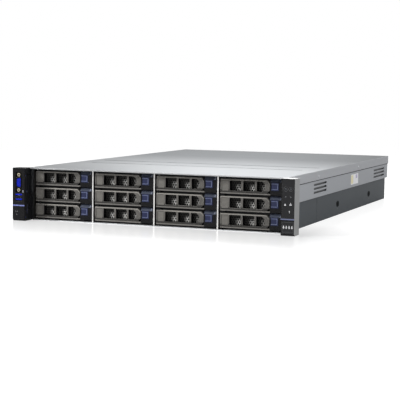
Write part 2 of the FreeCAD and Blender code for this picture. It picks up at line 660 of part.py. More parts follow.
# ---------------------------------------------------------------- top cover and its screws
def make_cover():
    cover = Solid("cover_body")
    section = [("flange_half", "body_height"), ("flange_half", "flange_low"),
               ("flange_half - cover_sheet", "flange_low"),
               ("flange_half - cover_sheet", "cover_under")]
    cover.pad("XZ", "tub_front + running_gap", "back", mirrored(section))
    lip_half = "ear_inner - running_gap"
    cover.pad("XY", "cover_under", "body_height",
              rectangle("0 - (%s)" % lip_half, lip_half, "tub_front - cover_overhang",
                        "tub_front + cover_sheet"))
    cover.pad("XZ", "tub_front - cover_overhang", "tub_front - cover_overhang + cover_sheet",
              rectangle("0 - (%s)" % lip_half, lip_half, "cover_under - cover_hem + cover_sheet",
                        "body_height"))
    for half, start in (("front_bead_half", "front_bead_from_front"),
                        ("rear_bead_half", "rear_bead_from_front")):
        cover.pocket("XY", "body_height - bead_depth", "body_height + 1",
                     centred("0", "front + " + start, "2 * " + half, "bead_width"))
    cover.dress("Chamfer", "cover_sheet / 2",
                lambda edge: edge.BoundBox.YLength > number("body_depth / 2")
                and abs(edge.BoundBox.ZMin - number("body_height")) < 0.01
                and abs(abs(edge.BoundBox.XMin) - number("flange_half")) < 0.01)
    return node("top_cover", cover.body)


def make_cover_screws():
    """Four round heads on the flanges, two on each side."""
    heads = []
    for side, face in (("left", "0 - flange_half - screw_head_height"), ("right", "flange_half")):
        for row, start in (("front", "front_screw_from_front"), ("rear", "rear_screw_from_front")):
            heads.append(rod("%s_%s_screw" % (row, side), "x", "screw_head_radius",
                             "screw_head_height", face, "front + " + start, "screw_height"))
    return node("cover_screws", group("cover_screw_set", *heads))


# ---------------------------------------------------------------- ears
def ear_housing(name, sign):
    """An ear as a moulded block with a sunk front panel; sign is 1 on the right, -1 on the left."""
    ear = Solid(name)
    inner, outer = ("ear_inner", "ear_outer") if sign > 0 else ("0 - ear_outer", "0 - ear_inner")
    ear.pad("YZ", inner, outer,
            [("front", "ear_chamfer"), ("front + ear_chamfer", "0"), ("tub_front", "0"),
             ("tub_front", "body_height"), ("front", "body_height")])
    face = ("front - 1", "front + ear_face_sink")
    low_x, high_x = inner + " + ear_face_margin", outer + " - ear_face_margin"
    ear.pocket("XZ", *face, rectangle(low_x, high_x, "trim_top", "body_height - ear_face_margin"))
    ear.pocket("XZ", *face, rectangle(low_x, high_x, "ear_chamfer + ear_face_margin",
                                      "ear_block_height"))
    seat = ("flange_half + running_gap", "ear_outer + 1")
    if sign < 0:
        seat = ("0 - ear_outer - 1", "0 - flange_half - running_gap")
    ear.pocket("XZ", "tub_front - ear_seat", "tub_front + 1",
               rectangle(*seat, "0 - 1", "body_height + 1"))
    grip_low = "ear_block_height - ear_trim_height"
    grip = rectangle("front + ear_depth / 2 - ear_grip_length / 2",
                     "front + ear_depth / 2 + ear_grip_length / 2",
                     grip_low, "body_height - ear_grip_drop")
    if sign > 0:
        ear.pocket("YZ", inner + " - 1", inner + " + ear_grip_depth", grip)
    else:
        ear.pocket("YZ", outer + " - ear_grip_depth", outer + " + 1", grip)
    return ear


def make_right_ear():
    ear = ear_housing("right_ear_body", 1)
    holes = [circle("ear_middle + %s * button_spacing / 2" % side, "button_height",
                    "button_radius + running_gap") for side in ("0 - 1", "1")]
    ear.pocket("XZ", "front - 1", "ear_face + button_length + button_stroke", *holes)
    ear.dress("Chamfer", "ear_face_margin / 2", upright_edge(x=["ear_outer"], y=["front"]))
    return node("right_ear", ear.body)


def socket(name, middle_z, width, height, depth):
    """A metal port shell in the left ear, with its tongue or pin block."""
    x = "0 - ear_middle"
    shell = Solid(name)
    end = "ear_face + " + depth
    outer = centred(x, middle_z, width, height)
    hole = centred(x, middle_z, width + " - 2 * port_rim", height + " - 2 * port_rim")
    shell.pad("XZ", "ear_face", end, outer, hole)
    shell.pad("XZ", end + " - 2 * port_rim", end, outer)
    tongue = centred(x, middle_z, width + " / 2", height + " / 3")
    shell.pad("XZ", "ear_face + 2 * port_rim", end + " - port_rim", tongue)
    return shell.body


def make_left_ear():
    ear = ear_housing("left_ear_body", -1)
    x = "0 - ear_middle"
    vga = "body_height - vga_drop"
    usb = "body_height - usb_drop"
    ports = [("vga_port", vga, "vga_width", "vga_height", "vga_depth"),
             ("usb_upper", usb, "usb_width", "usb_height", "usb_depth"),
             ("usb_lower", usb + " - usb_pitch", "usb_width", "usb_height", "usb_depth")]
    ear.pocket("XZ", "front - 1", "ear_face + post_recess",
               centred(x, vga, "vga_width + 2 * post_radius - 2 * ear_face_margin",
                       "post_spacing + 2 * post_radius + 2 * ear_face_margin"))
    for name, height, width, tall, depth in ports:
        ear.pocket("XZ", "front - 1", "ear_face + " + depth, centred(x, height, width, tall))
    shells = [socket(*port) for port in ports]
    posts = []
    for name, sign in (("upper", "+"), ("lower", "-")):
        post = doc.addObject("Part::Prism", name + "_post")
        post.Polygon = 6
        bind(post, Circumradius="post_radius", Height="post_recess")
        height = "%s %s post_spacing / 2" % (vga, sign)
        posts.append(place(post, x, "ear_face", height, TURNS["y"]))
    return node("left_ear", group("left_ear_set", ear.body, *shells, *posts))


def make_ear_buttons():
    for name, side in (("power_button", "0 - 1"), ("locator_button", "1")):
        button = Solid(name + "_body")
        proud = "ear_face - button_proud"
        spot = circle("ear_middle + %s * button_spacing / 2" % side, "button_height",
                      "button_radius")
        button.pad("XZ", proud, proud + " + button_length", spot)
        node(name, button.body)


# ---------------------------------------------------------------- drive cage and backplane
def make_cage():
    cage = Solid("cage_body")
    top = "cage_top_under"
    cage.pad("XZ", "bay_front", "board_front",
             rectangle("0 - cage_half", "cage_half", top, top + " + cage_sheet"))
    webs = [rectangle("%d * column_pitch - separator / 2" % k, "%d * column_pitch + separator / 2" % k,
                      "wall", top + " + cage_sheet / 2") for k in (-1, 0, 1)]
    webs.append(rectangle("cage_half - cage_sheet", "cage_half", "wall", top + " + cage_sheet / 2"))
    webs.append(rectangle("0 - cage_half", "0 - cage_half + cage_sheet", "wall",
                          top + " + cage_sheet / 2"))
    cage.pad("XZ", "bay_front", "board_front", *webs)
    # ledges that carry the carriers' rails
    start = "bay_front + bezel_rear + ledge_setback"
    ledges = []
    for k in (-1, 0, 1):
        ledges.append(("%d * column_pitch - separator / 2 - ledge_reach" % k,
                       "%d * column_pitch + separator / 2 + ledge_reach" % k))
    ledges.append(("cage_half - cage_sheet - ledge_reach", "cage_half - cage_sheet / 2"))
    ledges.append(("0 - cage_half + cage_sheet / 2", "0 - cage_half + cage_sheet + ledge_reach"))
    for row in range(ROWS):
        level = "row_floor + %d * row_pitch" % row
        cage.pad("XZ", start, "board_front",
                 *[rectangle(low, high, level + " - ledge", level) for low, high in ledges])
    return node("drive_cage", cage.body)


def bay_left(column):
    return "(%d - 2) * column_pitch + (column_pitch - carrier_width) / 2" % column


def bay_low(row):
    """Underside of a carrier; row 0 is the top one."""
    return "row_floor + %d * row_pitch + carrier_gap" % (ROWS - 1 - row)


def make_backplane():
    plane = Solid("backplane_body")
    edge = "cage_half - board_margin"
    plane.pad("XZ", "board_front", "board_front + board",
              rectangle("0 - (%s)" % edge, edge, "wall", "cage_top_under"))
    for row in range(ROWS):
        level = bay_low(row)
        sockets = []
        airways = []
        for column in range(COLUMNS):
            middle = bay_left(column) + " + carrier_width / 2"
            sockets.append(centred(middle, level + " + socket_low + socket_height / 2",
                                   "socket_width", "socket_height"))
            airways.append(centred(middle, level + " + carrier_height - airway_height",
                                   "carrier_width - 2 * airway_inset", "airway_height"))
        plane.pad("XZ", "drive_rear + running_gap", "board_front + board / 2", *sockets)
        plane.pocket("XZ", "board_front - 1", "board_front + board + 1", *airways)
    return node("drive_backplane", plane.body)


# ---------------------------------------------------------------- drive carriers, levers, buttons
def carrier_master():
    """The bezel with its catch housing, hinge lugs and rails; origin at its lower left front."""
    frame = Solid("carrier_frame")
    width, tall = "carrier_width", "carrier_height"
    plate = rectangle("0", width, "0", tall)
    windows = [rectangle(left, left + " + " + wide, "window_low", "window_high")
               for left, wide in (("first_window", "window_width"),
                                  ("second_window", "window_width"),
                                  ("third_window", "tip_window_width"))]
    frame.pad("XZ", "bezel_back", "bezel_rear", plate, *windows)
    # bottom lip, lugs round the lever's pin, catch housing with its sloped top
    frame.pad("XY", "0", "lip_height", rectangle("lever_margin", "housing_left + 1", "0",
                                                 "bezel_back + 0.5"))
    frame.pad("XY", tall + " - lip_height", tall, rectangle("lever_margin", "lug_width", "1",
                                                            "bezel_back + 0.5"))
    frame.pad("YZ", "housing_left", width,
              [("0", "0"), ("bezel_rear", "0"), ("bezel_rear", tall),
               ("housing_slope", tall), ("0", tall + " - housing_slope")])
    frame.pocket("XY", "lip_height - pin_length", tall + " - lip_height + pin_length",
                 centred("pivot_x", "pivot_y", "2 * (pin_radius + pin_fit)",
                         "2 * (pin_radius + pin_fit)"))
    frame.pocket("XZ", "0 - 1", "catch_depth + catch_stroke",
                 rectangle("catch_left - running_gap", "catch_left + catch_width + running_gap",
                           "catch_low - running_gap", "catch_low + catch_height + running_gap"))
    rails = [rectangle("0", "rail_sheet", "0", "rail_height"),
             rectangle("carrier_width - rail_sheet", "carrier_width", "0", "rail_height")]
    frame.pad("XZ", "bezel_rear - bezel_sheet / 2", "drive_setback + drive_length - rail_short",
              *rails)
    drive = Solid("hard_drive")
    high = "drive_left + drive_width"
    rear = "drive_setback + drive_length"
    drive.pad("XY", "carrier_gap / 2", "carrier_gap / 2 + drive_height",
              rectangle("drive_left", high, "drive_setback", rear))
    drive.dress("Chamfer", "drive_chamfer", upright_edge(x=["drive_left", high], y=["drive_setback", rear]))
    return group("carrier_master", frame.body, drive.body)


def lever_master():
    """The lever: a frame with three windows, a pointed tip and a pin at its closed end."""
    lever = Solid("lever_frame")
    tip, low, high = "lever_tip", "lever_low", "lever_high"
    lever.pad("XZ", "0", "lever_depth",
              [("lever_margin", low), (tip + " - tip_chamfer", low), (tip, low + " + tip_chamfer"),
               (tip, high + " - tip_chamfer"), (tip + " - tip_chamfer", high),
               ("lever_margin", high)])
    third_end = "third_window + tip_window_width"
    windows = [rectangle(left, left + " + window_width", "window_low", "window_high")
               for left in ("first_window", "second_window")]
    windows.append([("third_window", "window_low"), (third_end + " - tip_chamfer", "window_low"),
                    (third_end, "window_low + tip_chamfer"),
                    (third_end, "window_high - tip_chamfer"),
                    (third_end + " - tip_chamfer", "window_high"), ("third_window", "window_high")])
    lever.pocket("XZ", "0 - 1", "lever_depth + 1", *windows)
    lever.dress("Chamfer", "lever_depth / 2 - 0.1",
                upright_edge(x=["lever_margin"], y=["lever_depth"]))
    lever.pocket("XZ", "0 - 1", "panel_sink",
                 rectangle("lever_margin + window_rim", "first_window - window_rim",
                           "window_low", "window_high"))
    pin = polygon("pivot_x", "pivot_y", "pin_radius", 8)
    lever.pad("XY", low + " - pin_length", low + " + window_rim / 2", pin)
    lever.pad("XY", high + " - window_rim / 2", high + " + pin_length", pin)
    return lever.body


def catch_master():
    button = Solid("catch_block")
    button.pad("XZ", "0 - catch_proud", "catch_depth - catch_proud",
               rectangle("catch_left", "catch_left + catch_width",
                         "catch_low", "catch_low + catch_height"))
    button.pocket("XZ", "0 - catch_proud - 1", "panel_sink - catch_proud",
                  rectangle("catch_left - 1", "catch_left + catch_width - catch_rim",
                            "catch_low + catch_rim", "catch_low + catch_height - catch_rim"))
    return button.body


def make_drives():
    carrier, lever, catch = carrier_master(), lever_master(), catch_master()
    for row in range(ROWS):
        for column in range(COLUMNS):
            bay = "%d_%d" % (row + 1, column + 1)
            spot = (bay_left(column), "bay_front", bay_low(row))
            node("drive_carrier_" + bay, copy("carrier_" + bay, carrier, *spot))
            node("carrier_lever_" + bay, copy("lever_" + bay, lever, *spot))
            node("release_button_" + bay, copy("catch_" + bay, catch, *spot))


def make_tag():
    tag = Solid("tag_body")
    low_x, high_x = "0 - cage_half + tag_margin", "0 - cage_half + tag_margin + tag_width"
    level = "wall + running_gap"
    tag.pad("XY", level, level + " + tag_sheet",
            rectangle(low_x, high_x, "bay_front - tag_proud",
                      "bay_front - tag_proud + tag_length"))
    tag.dress("Chamfer", "tag_sheet * 2", upright_edge(x=[low_x, high_x]))
    return node("information_tag", tag.body)


# ---------------------------------------------------------------- fans
HUB_SIDES = 20
SHAFT_SIDES = 8


def fan_left(index):
    return "(%d - 1.5) * fan_pitch" % index


def make_fan_frames():
    frame = Solid("fan_frame")
    half = "fan_size / 2"
    corner = rectangle("0 - " + half, half, "0 - " + half, half)
    frame.pad("XZ", "0", "fan_depth", corner, circle("0", "0", "fan_bore"))
    spokes = [rectangle("0 - fan_bore - 1", "fan_bore + 1", "0 - spoke_width / 2",
                        "spoke_width / 2"),
              rectangle("0 - spoke_width / 2", "spoke_width / 2", "0 - fan_bore - 1",
                        "fan_bore + 1")]
    for spoke in spokes:
        frame.pad("XZ", "fan_depth - motor_plate", "fan_depth", spoke)
    frame.pad("XZ", "fan_depth - motor_plate", "fan_depth",
              polygon("0", "0", "hub_radius", HUB_SIDES))
    frame.pad("XZ", "rotor_inset + hub_round", "fan_depth - motor_plate / 2",
              polygon("0", "0", "shaft_radius", SHAFT_SIDES))
    frame.dress("Chamfer", "fan_corner",
                lambda edge: edge.BoundBox.YLength > number("fan_depth - 1")
                and abs(abs(edge.BoundBox.XMin) - number(half)) < 0.01
                and abs(abs(edge.BoundBox.ZMin) - number(half)) < 0.01)
    fans = [copy("fan_frame_%d" % index, frame.body, fan_left(index), "fan_front", "fan_axis")
            for index in range(4)]
    return node("fan_frames", group("fan_frame_set", *fans))


def rotor_master():
    """A hub with slanted blades, each padded outwards from a cross-section inside the hub."""
    rotor = Solid("rotor_body")
    start = "rotor_inset"
    rotor.pad("XZ", start, start + " + hub_length", polygon("0", "0", "hub_radius", HUB_SIDES))
    rotor.dress("Chamfer", "hub_round", lambda edge: edge.BoundBox.YLength < 0.01
                and edge.BoundBox.YMin < number(start + " + hub_round"))
    leading = start + " + hub_round"
    trailing = leading + " + blade_chord"
    section = [(leading, "0 - blade_lean / 2"), (trailing, "blade_lean / 2"),
               (trailing, "blade_lean / 2 + blade_thick"),
               (leading, "0 - blade_lean / 2 + blade_thick")]
    blade = rotor.pad("YZ", "hub_radius - blade_root", "rotor_radius - blade_sag", section)
    rotor.repeat(blade, "PolarPattern", "Y", "blade_count", Angle="360")
    rotor.pocket("XZ", start + " + hub_round", start + " + hub_length + 1",
                 polygon("0", "0", "(shaft_radius + shaft_fit) / cos(%g deg)" % (180 / SHAFT_SIDES),
                         SHAFT_SIDES))
    return rotor.body


def make_rotors():
    rotor = rotor_master()
    for index in range(4):
        node("fan_rotor_%d" % (index + 1),
             copy("rotor_%d" % (index + 1), rotor, fan_left(index), "fan_front", "fan_axis"))


# ---------------------------------------------------------------- boards
# rear ports as (start along the ports' window, width, height): network, USB, serial, VGA
REAR_PORTS = [(3, 18, 13.5), (25, 18, 13.5), (66, 16, 13.5), (86, 16, 13.5), (108.5, 15, 15.6),
              (128.5, 31, 12.5), (162.5, 31, 12.5)]


def dimm_places():
    room = number("(pcb_half_width - dimm_edge - dimm_outer) / dimm_pitch")
    inner = ["dimm_first + %d * dimm_pitch" % k for k in range(BANK)]
    outer = ["dimm_outer + %d * dimm_pitch" % k for k in range(int(room) + 1)]
    right = inner + outer
    return right + ["0 - (%s)" % x for x in right]


def make_mainboard():
    board = Solid("mainboard_body")
    half, notch_y = "pcb_half_width", "back - psu_length - notch_gap"
    board.pad("XY", "pcb_low", "pcb_top",
              [("0 - " + half, "pcb_front"), (half, "pcb_front"), (half, "pcb_back"),
               ("board_notch", "pcb_back"), ("board_notch", notch_y), ("0 - " + half, notch_y)])
    board.pad("XY", "pcb_top - pcb / 2", "pcb_top + cpu_stack",
              *[centred("%s cpu_middle" % sign, "cpu_y", "cpu_size", "cpu_size + cpu_long")
                for sign in ("", "0 - ")])
    board.pad("XY", "pcb_top - pcb / 2", "pcb_top + dimm_socket_height",
              *[centred(x, "cpu_y", "dimm_socket_width", "dimm_socket_length")
                for x in dimm_places()])
    for start, width, tall in REAR_PORTS:
        left = "board_notch + port_window_margin + %g" % start
        board.pad("XY", "pcb_top - pcb / 2", "pcb_top + %g" % tall,
                  rectangle(left, "%s + %g" % (left, width),
                            "pcb_back - port_depth + pcb_rear_gap", "pcb_back + pcb_rear_gap"))
    board.pad("XY", "pcb_top - pcb / 2", "pcb_top + chip_height",
              centred("board_notch + chip_from_notch", "pcb_back - chip_from_back",
                      "chip_size", "chip_size"))
    return node("mainboard", board.body)


def make_heatsinks():
    sink = Solid("heatsink_body")
    sink.pad("XY", "0", "sink_base", centred("0", "0", "sink_width", "sink_length"))
    fin = sink.pad("XY", "sink_base / 2", "sink_height",
                   rectangle("0 - sink_width / 2", "0 - sink_width / 2 + fin",
                             "0 - sink_length / 2", "sink_length / 2"))
    sink.repeat(fin, "LinearPattern", "X", "fin_count", Length="sink_width - fin")
    pair = [copy("heatsink_" + side, sink.body, sign + "cpu_middle", "cpu_y", "sink_low")
            for side, sign in (("right", ""), ("left", "0 - "))]
    return node("cpu_heatsinks", group("heatsink_set", *pair))


def make_memory():
    module = Solid("memory_module")
    module.pad("XY", "0", "dimm_height", centred("0", "0", "dimm_thick", "dimm_length"))
    places = dimm_places()
    modules = [copy("module_%d" % (k + 1), module.body, x, "cpu_y", "pcb_top + dimm_socket_height")
               for k, x in enumerate(places)]
    return node("memory_modules", group("memory_set", *modules))


def make_duct():
    duct = Solid("duct_body")
    start, end = "front + duct_from_front", "front + duct_from_front + duct_length"
    half = "duct_half_width"
    section = [(half, "duct_top"), (half, "pcb_top"), (half + " - duct_sheet", "pcb_top"),
               (half + " - duct_sheet", "duct_top - duct_sheet")]
    duct.pad("XZ", start, end, mirrored(section))
    duct.pocket("YZ", "0 - flange_half", "flange_half",
                [(start + " - 1", "0"), ("pcb_front + duct_clear", "0"),
                 ("pcb_front + duct_clear", "pcb_top + duct_clear"),
                 (start + " - 1", "pcb_top + duct_lift")])
    beside = "(sink_width / 2 + rib_margin)"
    middles = ["cpu_middle - " + beside, "cpu_middle + " + beside]
    middles += ["0 - (%s)" % middle for middle in middles]
    ribs = [rectangle(middle + " - duct_sheet / 2", middle + " + duct_sheet / 2",
                      "sink_low + sink_height + duct_clear", "duct_top - duct_sheet / 2")
            for middle in middles]
    duct.pad("XZ", start, end, *ribs)
    return node("air_duct", duct.body)


def make_riser():
    riser = Solid("riser_body")
    top = "wall_top - running_gap"
    skin = "riser_sheet"
    section = [("riser_outer", "ledge_top"), ("riser_outer", top), ("riser_inner", top),
               ("riser_inner", "pcb_top"), ("riser_inner + " + skin, "pcb_top"),
               ("riser_inner + " + skin, top + " - " + skin),
               ("riser_outer - " + skin, top + " - " + skin), ("riser_outer - " + skin, "ledge_top")]
    start = "riser_back - riser_length"
    riser.pad("XZ", start, "riser_back", section)
    riser.pocket("YZ", "riser_inner - 1", "riser_inner + 2",
                 rectangle(start + " + riser_window_inset", "riser_back - riser_window_inset",
                           "ledge_top - riser_window_inset", "ledge_top + riser_window_rise"))
    covers = [rectangle(slot_left(slot) + " - slot_lap",
                        slot_left(slot) + " + slot_width + slot_lap",
                        "ledge_top + slot_foot - slot_lap", top + " - riser_sheet / 2")
              for slot in range(slot_count())]
    riser.pad("XZ", "riser_back - " + skin, "riser_back", *covers)
    rib = slot_left(slot_count() // 2)
    riser.pad("XZ", start + " + riser_rib_front", "riser_back - riser_rib_back",
              rectangle(rib, rib + " + riser_rib_sheet", "ledge_top", top + " - riser_sheet / 2"))
    return node("riser_cage", riser.body)


# ---------------------------------------------------------------- power supplies
def psu_master():
    supply = Solid("psu_case")
    face, wide, tall = "psu_proud", "psu_width", "psu_height"
    supply.pad("XZ", face + " - psu_length", face,
               rectangle("0", wide, "0", tall))
    # handle: a flat loop beside the inlet
    grip = "grip_left"
    supply.pad("XY", "grip_low", "grip_low + grip_thick",
               rectangle(grip, grip + " + grip_width", face + " - 1", "handle_reach"),
               rectangle(grip + " + grip_bar", grip + " + grip_width - grip_bar",
                         face, "handle_reach - grip_bar"))
    inlet_x = "psu_width - inlet_right - inlet_width"
    inlet_z = "psu_height - inlet_top - inlet_height"
    supply.pocket("XZ", face + " - inlet_depth", face + " + 1",
                  rectangle(inlet_x, inlet_x + " + inlet_width", inlet_z, inlet_z + " + inlet_height"))
    middle_x = inlet_x + " + inlet_width / 2"
    middle_z = inlet_z + " + inlet_height / 2"
    pins = [(middle_x + " - pin_spread", middle_z + " - pin_drop"),
            (middle_x + " + pin_spread", middle_z + " - pin_drop"),
            (middle_x, middle_z + " + pin_rise")]
    supply.pad("XZ", face + " - inlet_depth - 1", face + " - pin_inset",
               *[centred(x, z, "blade_pin", "2 * blade_pin") for x, z in pins])
    # slot of the release tab
    slot_low = "psu_catch_low - running_gap"
    supply.pocket("XZ", face + " - psu_catch_reach", face + " + 1",
                  rectangle("psu_width - psu_catch_right - psu_catch_width - psu_catch_stroke"
                            " - running_gap", "psu_width - psu_catch_right + running_gap",
                            slot_low, "psu_catch_low + psu_catch_height + running_gap"))
    supply.dress("Chamfer", "psu_bevel", lambda edge: edge.BoundBox.ZLength < 0.01
                 and edge.BoundBox.YLength < 0.01 and edge.BoundBox.XLength > 60
                 and abs(edge.BoundBox.YMin - number(face)) < 0.01)
    return supply.body


def psu_catch_master():
    tab = Solid("psu_tab")
    right = "psu_width - psu_catch_right"
    tab.pad("XY", "psu_catch_low", "psu_catch_low + psu_catch_height",
            [(right + " - psu_catch_width", "psu_proud - psu_catch_reach + running_gap"),
             (right, "psu_proud - psu_catch_reach + running_gap"),
             (right, "psu_proud + psu_catch_reach - 2"),
             (right + " - 2", "psu_proud + psu_catch_reach"),
             (right + " - psu_catch_width + 1", "psu_proud + psu_catch_reach"),
             (right + " - psu_catch_width", "psu_proud + psu_catch_reach - 1")])
    return tab.body


def make_power_supplies():
    case, tab = psu_master(), psu_catch_master()
    for index in (0, 1):
        spot = ("psu_left + %d * psu_pitch" % index, "back", "psu_low")
        node("power_supply_%d" % (index + 1), copy("psu_%d" % (index + 1), case, *spot))
        node("supply_catch_%d" % (index + 1), copy("psu_tab_%d" % (index + 1), tab, *spot))


# ---------------------------------------------------------------- build, check and write
for make in (make_chassis, make_cover, make_cover_screws, make_right_ear, make_left_ear,
             make_ear_buttons, make_cage, make_backplane, make_drives, make_tag,
             make_fan_frames, make_rotors, make_mainboard, make_heatsinks, make_memory,
             make_duct, make_riser, make_power_supplies):
    make()
doc.recompute()

for thing in doc.Objects:
    faults = [state for state in thing.State if state in ("Invalid", "Error")]
    if faults:
        raise SystemExit("%s (%s) failed: %s" % (thing.Name, thing.Label, faults))
for thing in NODES:
    if thing.Shape.isNull() or not thing.Shape.isValid() or not thing.Shape.Solids:
        raise SystemExit("%s has no valid solid" % thing.Label)

os.makedirs("parts", exist_ok=True)
for thing in NODES:
    thing.Shape.exportStep("parts/%s.step" % thing.Label)
print("%d sub-parts written" % len(NODES))
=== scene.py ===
"""The looks of a two-unit rack server with twelve drive bays.

Lengths are metres in the frame of the solids: the front faces -Y, +Z is up, +X is to the
right of someone facing the front. Sizes of details are written in millimetres and
multiplied by MM.
"""
import json
import math

import bmesh
import bpy
from mathutils import Matrix, Vector


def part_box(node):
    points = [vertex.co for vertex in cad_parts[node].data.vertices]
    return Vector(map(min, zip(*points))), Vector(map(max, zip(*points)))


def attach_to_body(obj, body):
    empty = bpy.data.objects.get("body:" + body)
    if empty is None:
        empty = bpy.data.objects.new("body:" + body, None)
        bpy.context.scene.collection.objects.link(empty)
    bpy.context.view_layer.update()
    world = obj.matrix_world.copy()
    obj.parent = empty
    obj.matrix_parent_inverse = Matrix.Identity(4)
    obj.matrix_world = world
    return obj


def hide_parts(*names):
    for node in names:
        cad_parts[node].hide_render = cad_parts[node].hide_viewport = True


MM = 0.001
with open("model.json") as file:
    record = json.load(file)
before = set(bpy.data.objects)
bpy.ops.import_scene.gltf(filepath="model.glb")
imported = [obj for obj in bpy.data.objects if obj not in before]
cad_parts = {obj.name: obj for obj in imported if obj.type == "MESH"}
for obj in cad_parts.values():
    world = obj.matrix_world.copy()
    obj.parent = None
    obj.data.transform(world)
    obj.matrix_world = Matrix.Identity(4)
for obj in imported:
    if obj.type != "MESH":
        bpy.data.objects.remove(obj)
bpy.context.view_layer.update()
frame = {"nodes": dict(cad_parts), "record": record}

record = frame["record"]
BODY_OF = {name: body for body, names in record["behaviour"]["bodies"].items() for name in names}
ROWS, COLUMNS = (1, 2, 3), (1, 2, 3, 4)
BAYS = ["%d_%d" % (row, column) for row in ROWS for column in COLUMNS]


# ---------------------------------------------------------------- node trees
class Signal:
    """A value in a node tree; arithmetic on it adds the nodes for the sum."""

    def __init__(self, nodes, socket):
        self.nodes = nodes
        self.socket = socket

    def math(self, operation, *values):
        return self.nodes.math(operation, *values)

    def __add__(self, other):
        return self.math("ADD", self, other)

    def __sub__(self, other):
        return self.math("SUBTRACT", self, other)

    def __rsub__(self, other):
        return self.math("SUBTRACT", other, self)

    def __mul__(self, other):
        return self.math("MULTIPLY", self, other)

    def __truediv__(self, other):
        return self.math("DIVIDE", self, other)

    def __gt__(self, other):
        return self.math("GREATER_THAN", self, other)

    def __lt__(self, other):
        return self.math("LESS_THAN", self, other)

    def __abs__(self):
        return self.math("ABSOLUTE", self)

    __radd__ = __add__
    __rmul__ = __mul__

    def floor(self):
        return self.math("FLOOR", self)

    def fract(self):
        return self.math("FRACT", self)

    def other(self, output):
        """Another output of the node that this value comes from."""
        return Signal(self.nodes, self.socket.node.outputs[output])


class Nodes:
    """A node tree that grows one node at a time."""

    def __init__(self, tree):
        self.tree = tree

    def node(self, kind, settings=None, sockets=None, output=0):
        """Adds a node: first its settings, then the values or links of its sockets."""
        made = self.tree.nodes.new(kind)
        for name, value in (settings or {}).items():
            setattr(made, name, value)
        for key, value in (sockets or {}).items():
            self.feed(made.inputs[key], value)
        return Signal(self, made.outputs[output])

    def math(self, operation, *values):
        return self.node("ShaderNodeMath", {"operation": operation}, dict(enumerate(values)))

    def feed(self, socket, value):
        if isinstance(value, Signal):
            self.tree.links.new(value.socket, socket)
        elif hasattr(value, "__len__") and socket.type == "RGBA" and len(value) == 3:
            socket.default_value = (*value, 1)
        else:
            socket.default_value = value


class Finish(Nodes):
    """A material with one Principled shader, built up from its surface's own coordinates."""

    def __init__(self, name):
        self.material = bpy.data.materials.new(name)
        self.material.use_nodes = True
        super().__init__(self.material.node_tree)
        self.shader = self.tree.nodes["Principled BSDF"]
        self.place = self.node("ShaderNodeTexCoord", output="Object")
        self.x = self.node("ShaderNodeSeparateXYZ", {}, {"Vector": self.place}, "X")
        self.y, self.z = self.x.other("Y"), self.x.other("Z")

    def surface(self, **values):
        """Sets the shader's sockets; Base_Color stands for Base Color."""
        for name, value in values.items():
            self.feed(self.shader.inputs[name.replace("_", " ")], value)
        return self.material

    def stretched(self, x, y, z):
        """The coordinates, scaled along each axis."""
        return self.node("ShaderNodeVectorMath", {"operation": "MULTIPLY"},
                         {0: self.place, 1: (x, y, z)})

    def noise(self, scale, detail=3, vector=None):
        return self.node("ShaderNodeTexNoise", {},
                         {"Vector": vector or self.place, "Scale": scale, "Detail": detail})

    def cells(self, scale, output, **settings):
        return self.node("ShaderNodeTexVoronoi", settings,
                         {"Vector": self.place, "Scale": scale}, output)

    def crystals(self):
        """The spangle of a zinc coat: flat patches, each with its own value from 0 to 1."""
        return self.node("ShaderNodeSeparateColor", {}, {"Color": self.cells(140, "Color")}, "Red")

    def grain(self):
        """The fine surface that a mould leaves."""
        return self.noise(2600, 2)

    def drift(self):
        """The slow unevenness of a moulding's tone and gloss."""
        return self.noise(22, 4)

    def blend(self, share, first, second):
        """From the first colour at share 0 to the second at 1."""
        return self.node("ShaderNodeMix", {"data_type": "RGBA"},
                         {0: share, 6: self.colour(first), 7: self.colour(second)}, 2)

    @staticmethod
    def colour(value):
        return value if isinstance(value, Signal) else (*value, 1)

    def limit(self, value, low, high, out_low=0.0, out_high=1.0):
        """The value's range from low to high, spread over the new range and clamped."""
        return self.node("ShaderNodeMapRange", {"clamp": True},
                         {0: value, 1: low, 2: high, 3: out_low, 4: out_high})

    @staticmethod
    def within(axis, low, high):
        """1 between two places along an axis, else 0."""
        return (axis > low) * (axis < high)

    def bump(self, height, distance, strength=1.0):
        return self.node("ShaderNodeBump", {},
                         {"Height": height, "Distance": distance, "Strength": strength}, "Normal")


def shade(colour, factor):
    return tuple(channel * factor for channel in colour)


# ---------------------------------------------------------------- finishes
def moulding(name, colour, roughness, specular=0.18):
    """Moulded plastic: a fine spark-eroded grain and a slightly uneven gloss."""
    f = Finish(name)
    patch, fine = f.drift(), f.grain()
    tone = f.blend(patch, shade(colour, 0.88), shade(colour, 1.12))
    return f.surface(Base_Color=tone, Specular_IOR_Level=specular, Normal=f.bump(fine, 0.00004),
                     Roughness=roughness + 0.14 * (patch - 0.5) + 0.1 * (fine - 0.5))


def painted_sheet(name, colour, roughness, metallic=0.0):
    """Sheet metal under a thin satin coat, with a faint orange-peel surface."""
    f = Finish(name)
    patch = f.noise(6, 3)
    smear = f.noise(5, 4, f.stretched(1, 0.25, 1))
    tone = f.blend(patch, shade(colour, 0.96), shade(colour, 1.04))
    return f.surface(Base_Color=tone, Metallic=metallic, Roughness=roughness + 0.12 * (smear - 0.5),
                     Specular_IOR_Level=0.25, Normal=f.bump(f.noise(900, 2), 0.00003))


def galvanised(name, colour):
    """Zinc-coated steel: flat crystals that differ a little in tone and gloss."""
    f = Finish(name)
    shift = f.crystals()
    tone = f.blend(shift, shade(colour, 0.88), shade(colour, 1.1))
    return f.surface(Base_Color=tone, Metallic=0.75, Roughness=0.38 + 0.16 * (shift - 0.5),
                     Normal=f.bump(f.noise(500, 2), 0.00002))


